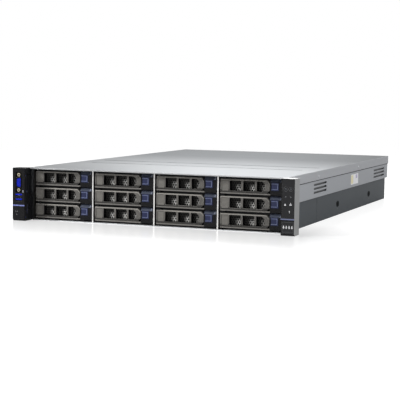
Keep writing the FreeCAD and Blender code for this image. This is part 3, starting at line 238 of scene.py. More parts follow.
def bare_metal(name, colour, roughness, brushed=(1, 1, 1)):
    """Plated or bare metal, brushed along the axis whose scale is smallest."""
    f = Finish(name)
    line = f.noise(1400, 2, f.stretched(*brushed))
    tone = f.blend(line, shade(colour, 0.86), shade(colour, 1.08))
    return f.surface(Base_Color=tone, Metallic=1.0, Roughness=roughness + 0.16 * (line - 0.5),
                     Normal=f.bump(line, 0.00001))


def lamp_glass(name, colour, glow):
    """A translucent light pipe with a faintly lit core."""
    f = Finish(name)
    core = f.noise(700, 1)
    return f.surface(Base_Color=f.blend(core, shade(colour, 0.8), colour),
                     Roughness=0.25 + 0.1 * core,
                     Emission_Color=f.blend(core, shade(glow, 0.8), glow), Emission_Strength=0.02)


def cover_sheet():
    """The cover: brushed zinc-plated sheet, with painted shade along its two pressed lines and
    towards its rear.
    """
    f = Finish("cover_coat")
    brush = f.noise(160, 3, f.stretched(0.08, 1, 1))
    patch = f.noise(3.2, 3)
    tone = f.blend(0.6 * patch + 0.4 * brush, (0.330, 0.337, 0.345), (0.390, 0.397, 0.402))
    on_top = f.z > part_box("top_cover")[1].z - 1 * MM
    # painted shade along each pressed line, darkest at its middle
    groove = 0
    for place, half, depth in PRESSED_LINES:
        near = f.limit(abs(f.y - place * MM), 1.2 * MM, 5.5 * MM, depth, 0)
        groove = groove + near * (abs(f.x) < half * MM)
    # painted shade: the top darkens towards its rear
    rear = f.limit(f.y, -0.22, 0.12, 0, 0.75)
    tone = f.blend(on_top * groove, tone, (0.012, 0.013, 0.014))
    tone = f.blend(on_top * rear, tone, (0.12, 0.125, 0.13))
    return f.surface(Base_Color=tone, Metallic=0.94 + 0.04 * patch,
                     Roughness=0.36 + 0.10 * (patch - 0.5) + 0.10 * (brush - 0.5),
                     Specular_Tint=(0.34, 0.345, 0.35),
                     Normal=f.bump(brush - on_top * groove, 0.00006))


def chassis_sheet():
    """The chassis: pale coat above the slide rail's recess, dark below, bare zinc inside."""
    low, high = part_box("chassis")
    f = Finish("chassis_coat")
    patch, shift = f.noise(5, 3), f.crystals()
    pale = f.blend(patch, (0.315, 0.328, 0.350), (0.340, 0.352, 0.374))
    dark = f.blend(patch, (0.052, 0.060, 0.067), (0.060, 0.068, 0.075))
    outside = abs(f.x) > high.x - 6.8 * MM
    coat = f.blend(f.z > RECESS_TOP + 0.02 * MM, dark, pale)
    # painted shade: the flanks' first 2.5 mm, beside the ears, are near black
    front = (f.y < low.y + 2.5 * MM) * (abs(f.x) > 213.5 * MM)
    coat = f.blend(front, coat, (0.020, 0.021, 0.022))
    zinc = f.blend(shift, (0.40, 0.41, 0.42), (0.52, 0.53, 0.54))
    return f.surface(Base_Color=f.blend(outside, zinc, coat), Metallic=0.6 - 0.6 * outside,
                     Roughness=0.5 + 0.1 * (patch - 0.5) + 0.08 * (shift - 0.5) * (1 - outside),
                     Specular_IOR_Level=0.15, Normal=f.bump(f.noise(900, 2), 0.00002))


ROW_PITCH, COLUMN_PITCH = 26.95, 108.1
LOWEST_ROW, BAY_MARGIN = 4.2, 2.45                      # a carrier's foot, and its side in its bay
WINDOWS = ((16.8, 19.0), (39.0, 19.0), (61.2, 13.6))    # left side and width of each, in a lever


def row_level(f):
    """How high in its own row a place is, from the foot of the row's carriers."""
    return ((f.z - LOWEST_ROW * MM) / (ROW_PITCH * MM)).fract() * (ROW_PITCH * MM)


def lever_sheet():
    """A lever: a warm grey moulding, with a painted highlight along its top and painted shade where
    it turns in below.
    """
    f = Finish("lever_coat")
    level, patch, fine = row_level(f), f.drift(), f.grain()
    tone = f.blend(patch, (0.108, 0.103, 0.096), (0.128, 0.122, 0.113))
    # painted highlight: paler along the top of the lever
    tone = f.blend(f.limit(level, 19.6 * MM, 21.4 * MM), tone, (0.176, 0.168, 0.155))
    # painted shade: darker where the lever turns in below
    tone = f.blend(f.limit(level, 7.2 * MM, 6.0 * MM), tone, (0.036, 0.034, 0.032))
    return f.surface(Base_Color=tone, Roughness=0.36 + 0.14 * (patch - 0.5) + 0.1 * (fine - 0.5),
                     Specular_IOR_Level=0.18, Normal=f.bump(fine, 0.00004))


def bay_across(f):
    """How far across its own drive bay a place is, from a carrier's left side."""
    return ((f.x - BAY_MARGIN * MM) / (COLUMN_PITCH * MM)).fract() * (COLUMN_PITCH * MM)


def mesh_sheet():
    """The grille: painted light low on the right of each window, and painted shade over the rest.
    """
    f = Finish("mesh_steel")
    across, level, fine = bay_across(f), row_level(f), f.grain()
    # painted light: pale where the lamp reaches past the window's rim, low on its right; the dark
    # tone elsewhere is painted shade
    bare = 0
    for left, width in WINDOWS:
        bare = bare + f.within(across, left * MM, (left + width) * MM) * f.limit(
            across, (left + 0.35 * width) * MM, (left + 0.62 * width) * MM)
    bare = bare * f.limit(level, 15.5 * MM, 11.5 * MM)
    bare = bare * f.limit(f.noise(260, 2), 0.36, 0.5, 0.55, 1)
    tone = f.blend(bare, (0.045, 0.044, 0.042), (0.74, 0.73, 0.70))
    return f.surface(Base_Color=tone, Roughness=0.5 - 0.15 * bare + 0.1 * (fine - 0.5),
                     Specular_IOR_Level=0.06, Normal=f.bump(fine, 0.00003))


def bezel_coat(name, colour, roughness):
    """Dark moulding of a carrier's front, whose lip below the lever is grey."""
    f = Finish(name)
    lip = (row_level(f) < 2.15 * MM) * (bay_across(f) < 83.0 * MM)
    fine = f.grain()
    tone = f.blend(f.drift(), shade(colour, 0.88), shade(colour, 1.12))
    return f.surface(Base_Color=f.blend(lip, tone, (0.170, 0.163, 0.152)),
                     Roughness=roughness + 0.1 * (fine - 0.5), Specular_IOR_Level=0.12,
                     Normal=f.bump(fine, 0.00004))


def cage_sheet():
    """The cage's bright zinc, with painted shade along the edges of the posts between the bays and
    on the cage's outer parts, near its front.
    """
    f = Finish("cage_zinc")
    shift = f.crystals()
    aside = abs((f.x / (COLUMN_PITCH * MM) + 0.5).fract() - 0.5) * (COLUMN_PITCH * MM)
    tone = f.blend(shift, (0.66, 0.65, 0.64), (0.76, 0.75, 0.73))
    # painted shade along both edges of each post and over the outer parts, near the front
    edge_shade = f.limit(aside, 0.95 * MM, 1.15 * MM) + (abs(f.x) > 190 * MM)
    edge = f.limit(edge_shade, 0, 1) * (f.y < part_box("drive_cage")[0].y + 14 * MM)
    return f.surface(Base_Color=f.blend(edge, tone, (0.05, 0.048, 0.046)), Metallic=0.55,
                     Roughness=0.34 + 0.1 * (shift - 0.5))


def memory_finish():
    """Memory modules: green boards with a row of black chips, in black sockets."""
    low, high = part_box("memory_modules")
    f = Finish("memory_board")
    along = ((f.y - low.y) / (12.7 * MM)).fract()
    chip = f.within(along, 0.12, 0.88) * f.within(f.z, high.z - 22 * MM, high.z - 4 * MM)
    mask = f.blend(f.noise(300), (0.010, 0.070, 0.034), (0.016, 0.095, 0.048))
    tone = f.blend(chip, mask, (0.014, 0.014, 0.015))
    tone = f.blend(f.z < low.z + 7 * MM, tone, (0.010, 0.010, 0.011))
    return f.surface(Base_Color=tone, Roughness=0.32 + 0.12 * f.noise(80),
                     Normal=f.bump(chip, 0.0002))


def label_finish(name, colour):
    """Printed film on a sticker, with faint ruled lines and no lettering."""
    f = Finish(name)
    streaks = f.noise(160, 1, f.stretched(1, 1, 0.2))
    bar = f.within((f.z / (2.6 * MM)).fract(), 0.30, 0.52) * (streaks > 0.47)
    tone = f.blend(0.35 * bar, colour, shade(colour, 0.5))
    return f.surface(Base_Color=tone, Roughness=0.42 + 0.1 * f.noise(300),
                     Specular_IOR_Level=0.3, Normal=f.bump(f.noise(700, 2), 0.00001))


RECESS_TOP = 43.5 * MM
# pressed lines of the cover as (place from front to back, half length, depth of the painted shade
# along it)
PRESSED_LINES = ((-178, 194, 0.85), (-105, 203, 1.0))

COVER_COAT = cover_sheet()
COVER_SIDE = painted_sheet("cover_side", (0.338, 0.348, 0.368), 0.46)
CHASSIS_COAT = chassis_sheet()
CAGE_ZINC = cage_sheet()
ZINC = galvanised("inner_zinc", (0.50, 0.51, 0.52))
EAR_BLACK = moulding("ear_black", (0.009, 0.0095, 0.011), 0.36)
EAR_CHARCOAL = moulding("ear_charcoal", (0.026, 0.026, 0.028), 0.40)
EAR_SILVER = painted_sheet("ear_silver", (0.26, 0.262, 0.264), 0.36, 0.35)
LEVER_COAT = lever_sheet()
# the levers' rounded edges and top chamfer: a paler colour as a painted highlight
LEVER_EDGE_HIGHLIGHT = moulding("lever_edge", (0.30, 0.288, 0.265), 0.30)
LEVER_PAD = moulding("lever_pad", (0.150, 0.141, 0.128), 0.45)
PAD_RIB = moulding("pad_rib", (0.245, 0.236, 0.218), 0.40)
BEZEL_BLACK = bezel_coat("bezel_black", (0.006, 0.006, 0.007), 0.42)
BEZEL_LIP = moulding("bezel_lip", (0.150, 0.144, 0.134), 0.34)
HOUSING_NAVY = bezel_coat("housing_navy", (0.021, 0.026, 0.046), 0.34)
# the up-facing slope of the same navy housing, paler: a painted highlight
HOUSING_SLOPE_HIGHLIGHT = moulding("housing_slope", (0.066, 0.076, 0.108), 0.30, specular=0.4)
BUTTON_BLUE = moulding("button_blue", (0.024, 0.030, 0.078), 0.30)
LINE_BLUE = moulding("line_blue", (0.130, 0.155, 0.270), 0.28, specular=0.4)
PORT_BLUE = moulding("port_blue", (0.004, 0.014, 0.40), 0.36, specular=0.1)
PORT_STEEL = bare_metal("port_steel", (0.72, 0.72, 0.74), 0.22)
POST_BRASS = bare_metal("post_brass", (0.42, 0.38, 0.28), 0.4)
SCREW_STEEL = bare_metal("screw_steel", (0.88, 0.88, 0.89), 0.18)
ZINC_SCREW = bare_metal("zinc_screw", (0.46, 0.47, 0.49), 0.36)
GOLD = bare_metal("contact_gold", (0.72, 0.52, 0.22), 0.28)
MESH_STEEL = mesh_sheet()
SUPPLY_SHEET = painted_sheet("supply_sheet", (0.36, 0.37, 0.375), 0.40, 0.5)
HANDLE_BLACK = moulding("handle_black", (0.016, 0.016, 0.018), 0.38)
TAB_ORANGE = moulding("tab_orange", (0.42, 0.10, 0.02), 0.36)
FAN_BLACK = moulding("fan_black", (0.014, 0.014, 0.016), 0.42)
FIN_ALUMINIUM = bare_metal("fin_aluminium", (0.78, 0.78, 0.80), 0.30, (1, 0.1, 1))
DUCT_BLACK = moulding("duct_black", (0.018, 0.018, 0.020), 0.36)
DRIVE_CAST = bare_metal("drive_cast", (0.30, 0.30, 0.31), 0.42)
SOCKET_BLACK = moulding("socket_black", (0.014, 0.014, 0.014), 0.4)
# a grey sheet behind the side vents: painted shade seen through their slots
VENT_SHADE_GREY = painted_sheet("baffle_grey", (0.085, 0.088, 0.092), 0.5)
RING_GREY = moulding("ring_grey", (0.095, 0.095, 0.100), 0.4)
GROOVE_BLACK = moulding("groove_black", (0.012, 0.013, 0.014), 0.6, specular=0.05)
LAMP_WHITE = lamp_glass("lamp_white", (0.24, 0.26, 0.32), (0.8, 0.85, 1.0))
LAMP_DIM = lamp_glass("lamp_dim", (0.10, 0.105, 0.115), (0.5, 0.6, 0.9))
MARK_WHITE = moulding("mark_white", (0.62, 0.62, 0.64), 0.45)
LABEL = label_finish("label_paper", (0.78, 0.78, 0.80))
LABEL_YELLOW = label_finish("label_yellow", (0.74, 0.68, 0.42))
LABEL_VIOLET = label_finish("label_violet", (0.46, 0.42, 0.58))
PAPER_WHITE = moulding("sticker_white", (0.70, 0.70, 0.70), 0.5)


def board_finish(name, low_z):
    """Green solder mask with copper traces; what stands above low_z is black."""
    f = Finish(name)
    line = (f.cells(420, "Distance", feature="DISTANCE_TO_EDGE") < 0.06) * 0.6
    mask = f.blend(line, (0.010, 0.075, 0.040), (0.03, 0.16, 0.09))
    tone = f.blend(f.z > low_z, mask, (0.016, 0.016, 0.017))
    return f.surface(Base_Color=tone, Roughness=0.3 + 0.1 * f.noise(60),
                     Normal=f.bump(line, 0.00003))


# ---------------------------------------------------------------- making pieces
def piece(name, mesh, *finishes):
    """A new object from a mesh or a bmesh, with its finishes in order."""
    if isinstance(mesh, bmesh.types.BMesh):
        data = bpy.data.meshes.new(name)
        mesh.to_mesh(data)
        mesh.free()
        mesh = data
    made = bpy.data.objects.new(name, mesh)
    bpy.context.scene.collection.objects.link(made)
    while len(made.data.materials) < len(finishes):
        made.data.materials.append(None)
    for index, finish in enumerate(finishes):
        made.data.materials[index] = finish
    return made


def attach(made, node, instead=False):
    """The piece moves with a node's body, and may stand in its place."""
    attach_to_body(made, BODY_OF[node])
    if instead:
        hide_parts(node)
    return made


def finish_node(node, finish):
    """Gives a node of the frame its material, its shape being right as it is."""
    slots = frame["nodes"][node].data.materials
    slots.clear()
    slots.append(finish)


SHARP = math.radians(28)                            # edges that turn further are rounded


def merged(node):
    """A node's shape as one closed bmesh with whole flat faces."""
    mesh = bmesh.new()
    mesh.from_mesh(frame["nodes"][node].data)
    bmesh.ops.remove_doubles(mesh, verts=mesh.verts, dist=0.002 * MM)
    bmesh.ops.dissolve_limit(mesh, angle_limit=math.radians(0.4), verts=mesh.verts,
                             edges=mesh.edges, delimit={"NORMAL"})
    return mesh


def bevel(mesh, sides, width, segments=2, profile=0.6, **settings):
    """Rounds the edges, or chamfers them where there is one segment."""
    bmesh.ops.bevel(mesh, geom=list(sides), offset=width, segments=segments, profile=profile,
                    affect="EDGES", clamp_overlap=True, **settings)


def sharp_edges(mesh):
    return [side for side in mesh.edges if side.is_manifold and side.calc_face_angle(0) > SHARP]


def rounded(node, name, width, finishes, choose=None, edge=None, cuts=()):
    """A node with its sharp edges rounded.

    choose gives a face's finish by its place and normal, and edge is the finish of the rounded
    edges. cuts are wider chamfers that come first, each as (test of an edge's ends, width).
    """
    mesh = merged(node)
    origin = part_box(node)[0]
    rim = -1 if edge is None else edge
    for face in mesh.faces:
        spot = (face.calc_center_median() - origin) / MM
        face.material_index = choose(spot, face.normal) if choose else 0
    for test, size in cuts:
        picked = [side for side in sharp_edges(mesh)
                  if all(test((vert.co - origin) / MM) for vert in side.verts)]
        bevel(mesh, picked, size, segments=1, profile=0, material=rim)
    bevel(mesh, sharp_edges(mesh), width, material=rim)
    # rounded edges that face down keep their face's finish, so the edge finish shows only where
    # light falls from above: a painted highlight
    for face in mesh.faces:
        if face.material_index == edge and face.normal.z < -0.05:
            face.material_index = 0
    return attach(piece(name, mesh, *finishes), node, instead=True)


def coat(faces, finish):
    """Gives faces their finish."""
    for face in faces:
        face.material_index = finish


def add_box(mesh, low, high, finish=0, rounding=0.0):
    """Adds a block from corner to corner, with rounded edges where rounding is above 0."""
    size = Vector(high) - Vector(low)
    middle = (Vector(high) + Vector(low)) / 2
    matrix = Matrix.Translation(middle) @ Matrix.Diagonal((*size, 1))
    made = bmesh.ops.create_cube(mesh, size=1, matrix=matrix)
    coat({face for vert in made["verts"] for face in vert.link_faces}, finish)
    if rounding:
        bevel(mesh, {side for vert in made["verts"] for side in vert.link_edges}, rounding)


TURNS = {"x": Matrix.Rotation(math.pi / 2, 4, "Y"), "y": Matrix.Rotation(-math.pi / 2, 4, "X"),
         "z": Matrix.Identity(4)}


def add_rod(mesh, start, axis, radius, length, finish=0, sides=24, rounding=0.0):
    """Adds a cylinder that runs from a point along +axis."""
    matrix = Matrix.Translation(start) @ TURNS[axis] @ Matrix.Translation((0, 0, length / 2))
    made = bmesh.ops.create_cone(mesh, cap_ends=True, segments=sides, radius1=radius,
                                 radius2=radius, depth=length, matrix=matrix)
    faces = {face for vert in made["verts"] for face in vert.link_faces}
    coat(faces, finish)
    if rounding:
        bevel(mesh, {side for face in faces if len(face.verts) > 4 for side in face.edges},
              rounding)


def add_ring(mesh, middle, axis, outer, inner, length, finish=0, sides=24):
    """Adds a flat ring that runs from a point along +axis."""
    matrix = Matrix.Translation(middle) @ TURNS[axis]
    angles = [2 * math.pi * k / sides for k in range(sides)]
    loops = [[mesh.verts.new(matrix @ Vector((radius * math.cos(a), radius * math.sin(a), level)))
              for a in angles]
             for radius, level in ((outer, 0), (outer, length), (inner, length), (inner, 0))]
    for k in range(sides):
        after = (k + 1) % sides
        coat([mesh.faces.new((here[k], here[after], there[after], there[k]))
              for here, there in zip(loops, loops[1:] + loops[:1])], finish)


def add_prism(mesh, axis, start, end, outline, finish=0):
    """Adds an outline, given across an axis, from one place to another along that axis."""
    order = {"x": (2, 0, 1), "y": (0, 2, 1), "z": (0, 1, 2)}[axis]

    def corner(point, level):
        values = (*point, level)
        return Vector([values[k] for k in order])

    rings = [[mesh.verts.new(corner(point, level)) for point in outline] for level in (start, end)]
    count = len(outline)
    faces = [mesh.faces.new(ring) for ring in rings]
    faces += [mesh.faces.new((rings[0][k], rings[0][(k + 1) % count],
                              rings[1][(k + 1) % count], rings[1][k])) for k in range(count)]
    coat(faces, finish)
    bmesh.ops.recalc_face_normals(mesh, faces=faces)


def add_frame(mesh, low, high, rim, finish=0):
    """Adds a rectangular frame that lies across Y, with a rim of one width."""
    (x0, y0, z0), (x1, y1, z1) = low, high
    add_box(mesh, low, (x1, y1, z0 + rim), finish)
    add_box(mesh, (x0, y0, z1 - rim), high, finish)
    add_box(mesh, (x0, y0, z0 + rim), (x0 + rim, y1, z1 - rim), finish)
    add_box(mesh, (x1 - rim, y0, z0 + rim), (x1, y1, z1 - rim), finish)


def d_outline(middle, width, height, slant, turned=False):
    """The outline of a D-shaped connector: one long side shorter than the other."""
    half, tall, cut = width / 2, height / 2, min(width, height) / 5
    points = [(-half + cut, tall), (half - cut, tall), (half, tall - cut),
              (half - slant, cut - tall), (half - slant - cut, -tall),
              (cut + slant - half, -tall), (slant - half, cut - tall), (-half, tall - cut)]
    if turned:
        points = [(z, x) for x, z in points]
    return [(middle[0] + x, middle[1] + z) for x, z in points]


# ---------------------------------------------------------------- geometry node trees
class Rule(Nodes):
    """A geometry node tree with named inputs, whose result becomes a plain mesh."""

    def __init__(self, name):
        super().__init__(bpy.data.node_groups.new(name, "GeometryNodeTree"))
        self.tree.interface.new_socket("Geometry", in_out="OUTPUT",
                                       socket_type="NodeSocketGeometry")
        self.inlet = self.tree.nodes.new("NodeGroupInput")
        self.outlet = self.tree.nodes.new("NodeGroupOutput")

    def size(self, name, kind="Float"):
        """A new input of the tree."""
        self.tree.interface.new_socket(name, in_out="INPUT", socket_type="NodeSocket" + kind)
        return Signal(self, self.inlet.outputs[name])

    def row(self):
        """The points of a straight row, whose count and step are inputs."""
        count, step = self.size("Count", "Int"), self.size("Step", "Vector")
        return self.node("GeometryNodeMeshLine", {"mode": "OFFSET"},
                         {"Count": count, "Offset": step})

    def copies(self, points, shape, **sockets):
        """Ends the tree: the shape stands on each point as plain geometry in one material."""
        stood = self.node("GeometryNodeInstanceOnPoints", {},
                          {"Points": points, "Instance": shape, **sockets})
        plain = self.node("GeometryNodeRealizeInstances", {}, {"Geometry": stood})
        painted = self.node("GeometryNodeSetMaterial", {},
                            {"Geometry": plain, "Material": self.size("Material", "Material")})
        self.feed(self.outlet.inputs["Geometry"], painted)
        return self.tree


def honeycomb_rule():
    """Six-sided cells in offset rows, as a stamped grille: the sheet lies in X and Z."""
    rule = Rule("honeycomb")
    width, height, pitch, web, depth = (rule.size(name) for name in
                                        ("Width", "Height", "Pitch", "Web", "Depth"))
    row_pitch = pitch * (math.sqrt(3) / 2)
    columns = (width / pitch).floor() + 1
    rows = (height / row_pitch).floor() + 1
    points = rule.node("GeometryNodePoints", {}, {"Count": columns * rows})
    index = rule.node("GeometryNodeInputIndex")
    row = ((index + 0.5) / columns).floor()
    offset = rule.math("MODULO", row, 2) * 0.5
    x = (index - row * columns + offset) * pitch
    spot = rule.node("ShaderNodeCombineXYZ", {}, {"X": x, "Z": row * row_pitch})
    placed = rule.node("GeometryNodeSetPosition", {}, {"Geometry": points, "Position": spot})
    kept = rule.node("GeometryNodeDeleteGeometry", {"domain": "POINT"},
                     {"Geometry": placed, "Selection": x > width + pitch * 0.01})
    ring = rule.node("GeometryNodeCurvePrimitiveCircle", {},
                     {"Resolution": 6, "Radius": pitch / math.sqrt(3) - web / 2})
    section = rule.node("GeometryNodeCurvePrimitiveQuadrilateral", {},
                        {"Width": web, "Height": depth}, "Curve")
    cell = rule.node("GeometryNodeCurveToMesh", {}, {"Curve": ring, "Profile Curve": section})
    turned = rule.node("GeometryNodeTransform", {}, {"Geometry": cell,
                       "Rotation": (math.pi / 2, math.pi / 6, 0)})
    return rule.copies(kept, turned)


# half section of a screw's head, from its middle outwards, as shares of radius and height
HEAD_SECTION = ((0.0, 0.15), (0.34, 0.15), (0.40, 0.95), (0.70, 1.0), (0.92, 0.72), (1.0, 0.30),
                (1.0, 0.0))


def screw_rule():
    """A straight row of pan-head screws with a round drive recess; the heads look along -Z."""
    rule = Rule("screw_row")
    row, radius, height = rule.row(), rule.size("Radius"), rule.size("Height")
    line = rule.node("GeometryNodeMeshLine", {}, {"Count": len(HEAD_SECTION)})
    index = rule.node("GeometryNodeInputIndex")
    across, up = 0.0, 0.0
    for number, (out, level) in enumerate(HEAD_SECTION):
        here = rule.node("FunctionNodeCompare", {"data_type": "INT", "operation": "EQUAL"},
                         {2: index, 3: number})
        across, up = across + here * out, up + here * level
    spot = rule.node("ShaderNodeCombineXYZ", {}, {"X": across * radius, "Y": up * height})
    shaped = rule.node("GeometryNodeSetPosition", {}, {"Geometry": line, "Position": spot})
    profile = rule.node("GeometryNodeMeshToCurve", {}, {"Mesh": shaped})
    axis = rule.node("GeometryNodeCurvePrimitiveCircle", {}, {"Resolution": 20, "Radius": 0.00001})
    head = rule.node("GeometryNodeCurveToMesh", {}, {"Curve": axis, "Profile Curve": profile})
    closed = rule.node("GeometryNodeMergeByDistance", {}, {"Geometry": head, "Distance": 0.00003})
    return rule.copies(row, closed)


def row_rule(name, kind, sockets):
    """A straight row of small blocks, or of small cans that stand along Z."""
    rule = Rule(name)
    return rule.copies(rule.row(), rule.node(kind, {}, sockets), Scale=rule.size("Size", "Vector"))


HONEYCOMB, SCREWS = honeycomb_rule(), screw_rule()
BLOCKS = row_rule("block_row", "GeometryNodeMeshCube", {"Size": (1, 1, 1)})
CANS = row_rule("can_row", "GeometryNodeMeshCylinder",
                {"Vertices": 14, "Radius": 0.5, "Depth": 1.0})


def grown(tree, **sizes):
    """The mesh that a geometry tree makes for these sizes."""
    carrier = bpy.data.objects.new("rule", bpy.data.meshes.new("rule"))
    bpy.context.scene.collection.objects.link(carrier)
    modifier = carrier.modifiers.new("rule", "NODES")
    modifier.node_group = tree
    sockets = {item.name: item.identifier for item in tree.interface.items_tree
               if item.in_out == "INPUT"}
    for name, value in {**sizes, "Material": GROOVE_BLACK}.items():
        modifier[sockets[name]] = value
    depsgraph = bpy.context.evaluated_depsgraph_get()
    mesh = bpy.data.meshes.new_from_object(carrier.evaluated_get(depsgraph))
    carrier.modifiers.remove(modifier)
    bpy.data.objects.remove(carrier)
    return mesh


def add_grown(mesh, made, matrix, finish):
    """Moves a grown mesh to its place in a bmesh, and returns its faces there."""
    made.transform(matrix)
    start = len(mesh.faces)
    mesh.from_mesh(made)
    bpy.data.meshes.remove(made)
    mesh.faces.ensure_lookup_table()
    coat(mesh.faces[start:], finish)
    return mesh.faces[start:]


def add_screws(mesh, start, step, count, facing, radius, height, finish=0):
    """Adds a row of screws whose heads look along a direction."""
    turn = Vector((0, 0, 1)).rotation_difference(Vector(facing)).to_matrix()
    made = grown(SCREWS, Count=count, Step=tuple(turn.inverted() @ Vector(step)),
                 Radius=radius, Height=-height)
    added = add_grown(mesh, made, Matrix.Translation(start) @ turn.to_4x4(), finish)
    bmesh.ops.recalc_face_normals(mesh, faces=added)


def honeycomb(mesh, low, width, height, pitch, web, depth, finish=0):
    """Adds a honeycomb sheet to a bmesh, centred in the opening that starts at low."""
    made = grown(HONEYCOMB, Width=width, Height=height, Pitch=pitch, Web=web, Depth=depth)
    spread = [max(v.co[axis] for v in made.vertices) + min(v.co[axis] for v in made.vertices)
              for axis in (0, 2)]
    shift = Vector((low[0] + (width - spread[0]) / 2, low[1], low[2] + (height - spread[1]) / 2))
    add_grown(mesh, made, Matrix.Translation(shift), finish)


def add_row(mesh, tree, first, step, count, size, finish=0, turn=TURNS["z"]):
    """Adds a row of blocks or cans, whose first has its middle at a place, in millimetres."""
    back = turn.to_3x3().inverted()
    made = grown(tree, Count=count, Step=tuple(back @ (Vector(step) * MM)),
                 Size=tuple(abs(v) for v in back @ (Vector(size) * MM)))
    add_grown(mesh, made, Matrix.Translation(Vector(first) * MM) @ turn, finish)


def dress(name, node, finishes, build, *details):
    """A new piece that build fills with shapes, and that moves with a node."""
    mesh = bmesh.new()
    build(mesh, *details)
    return attach(piece(name, mesh, *finishes), node)


# ---------------------------------------------------------------- drive carriers
BEZEL_BACK, BEZEL_REAR, DRIVE_FRONT = 7.4, 9.2, 11.0
LIP_HEIGHT = 2.2
HOUSING_LEFT, CARRIER_WIDTH = 82.6, 103.2
SLOPE_FOOT = 20.0                                   # where the housing's slope starts
WINDOW_LOW, WINDOW_HIGH = 4.8, 20.7
LEVER_TOP, LEVER_SLANT = 21.9, 97.9                 # top edge and slanted corner of a lever
BUTTON_INNER = ((85.3, 9.0), (95.5, 18.4))          # the line round a release button's hollow


def carrier_finish(spot, normal):
    """0 black, 1 lip, 2 housing, 3 housing's slope, paler as a painted highlight, 4 zinc rails, 5
    the drive.
    """
    if spot.y > DRIVE_FRONT + 0.5:
        return 4 if min(spot.x, CARRIER_WIDTH - spot.x) < 0.75 else 5
    if spot.y > BEZEL_REAR - 0.1:
        return 0
    # faces of the housing that look up and forward get the paler slope finish: a painted highlight
    if spot.x > HOUSING_LEFT:
        return 3 if normal.z > 0.3 and normal.y < -0.3 else 2
    return 1 if spot.z < LIP_HEIGHT + 0.1 and spot.y < BEZEL_BACK - 0.5 else 0


def lever_finish(spot, normal):
    """0 the coat, 2 the sunk square on the hinge block, 3 the windows' inner walls, black as
    painted shade.
    """
    if 0.1 < spot.y < 1.2 and normal.y < -0.5:
        return 2
    # painted shade: the windows' inner walls are made black
    return 3 if spot.y > 2 and abs(normal.y) < 0.5 and 15 < spot.x < 73.5 and 3 < spot.z < 20 else 0


def lever_top_edge(spot):
    return spot.y < 0.05 and (spot.z > LEVER_TOP - 0.1 or spot.x + spot.z > LEVER_SLANT - 0.1)


def mesh_vent():
    """The stamped grille behind a lever's three windows, for a carrier at the origin."""
    mesh = bmesh.new()
    for left, width in WINDOWS:
        honeycomb(mesh, (left * MM, 9.0 * MM, WINDOW_LOW * MM), width * MM,
                  (WINDOW_HIGH - WINDOW_LOW) * MM, 4.0 * MM, 0.75 * MM, 1.3 * MM)
    data = bpy.data.meshes.new("mesh_vent")
    mesh.to_mesh(data)
    mesh.free()
    return data


def pad_ribs(mesh, origin):
    """Fine ribs across the sunk square on a lever's hinge block, for the thumb."""
    add_row(mesh, BLOCKS, origin / MM + Vector((9.2, 0.6, 6.6)), (0, 0, 1.95), 7,
            (9.6, 0.5, 0.75))


def slope_lamp(mesh, origin):
    """A light pipe that lies on the slope of a catch housing, at its right end."""
    outline = [(0.48, 0.72), (3.88, 4.12), (4.36, 3.64), (0.96, 0.24)]
    add_prism(mesh, "x", origin.x + 99.6 * MM, origin.x + 101.3 * MM,
              [(origin.y + y * MM, origin.z + (SLOPE_FOOT + z) * MM) for y, z in outline])


def button_line(mesh, origin):
    """The raised line on three sides of a release button's hollow."""
    (left, low), (right, high) = BUTTON_INNER
    thick = 0.95
    outline = [(left, high), (right, high), (right, low), (left, low), (left, low + thick),
               (right - thick, low + thick), (right - thick, high - thick), (left, high - thick)]
    add_prism(mesh, "y", origin.y - 0.62 * MM, origin.y - 0.3 * MM,
              [(origin.x + x * MM, origin.z + z * MM) for x, z in outline])


def drive_label(mesh, origin):
    """A plain paper label with two grey bands on a drive's top, and its four lid screws."""
    top = 25.15
    areas = ((20, 82, 40, 118), (24, 52, 46, 62), (24, 70, 100, 104))
    for layer, (x0, x1, y0, y1) in enumerate(areas):
        add_box(mesh, origin + Vector((x0, y0, top - 0.1)) * MM,
                origin + Vector((x1, y1, top + 0.05 + 0.03 * (layer > 0))) * MM, min(layer, 1))
    for x in (6, 94):
        add_screws(mesh, origin + Vector((x, 24, top)) * MM, Vector((0, 118, 0)) * MM, 2,
                   (0, 0, 1), 1.6 * MM, 0.25 * MM, 2)


def make_carriers():
    vent = mesh_vent()
    for bay in BAYS:
        carrier, lever, button = (kind + bay for kind in ("drive_carrier_", "carrier_lever_",
                                                          "release_button_"))
        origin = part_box(carrier)[0]
        rounded(carrier, "carrier_" + bay, 0.22 * MM,
                (BEZEL_BLACK, BEZEL_LIP, HOUSING_NAVY, HOUSING_SLOPE_HIGHLIGHT, ZINC, DRIVE_CAST),
                carrier_finish)
        # the lever's rounded edges and top chamfer take a paler finish: a painted highlight
        rounded(lever, "lever_" + bay, 0.35 * MM, (LEVER_COAT, LEVER_EDGE_HIGHLIGHT, LEVER_PAD, BEZEL_BLACK),
                lever_finish, edge=1, cuts=((lever_top_edge, 1.2 * MM),))
        rounded(button, "button_" + bay, 0.2 * MM, (BUTTON_BLUE,))
        dress("ribs_" + bay, lever, (PAD_RIB,), pad_ribs, origin)
        grille = vent.copy()
        grille.transform(Matrix.Translation(origin))
        attach(piece("grille_" + bay, grille, MESH_STEEL), carrier)
        dress("lamp_" + bay, carrier, (LAMP_WHITE,), slope_lamp, origin)
        dress("line_" + bay, button, (LINE_BLUE,), button_line, origin)
        dress("label_" + bay, carrier, (LABEL, RING_GREY, SCREW_STEEL), drive_label, origin)


# ---------------------------------------------------------------- ears
STRIP_LOW, STRIP_HIGH = 24.4, 26.2                  # the line on the ears' trim strip
PORT_MIDDLE, VGA_LEVEL, POST_SPREAD, USB_LEVELS = 11.0, 63.0, 12.6, (42.2, 34.4)
BUTTON_LEVEL, BUTTON_PLACES = 71.2, (7.1, 14.9)


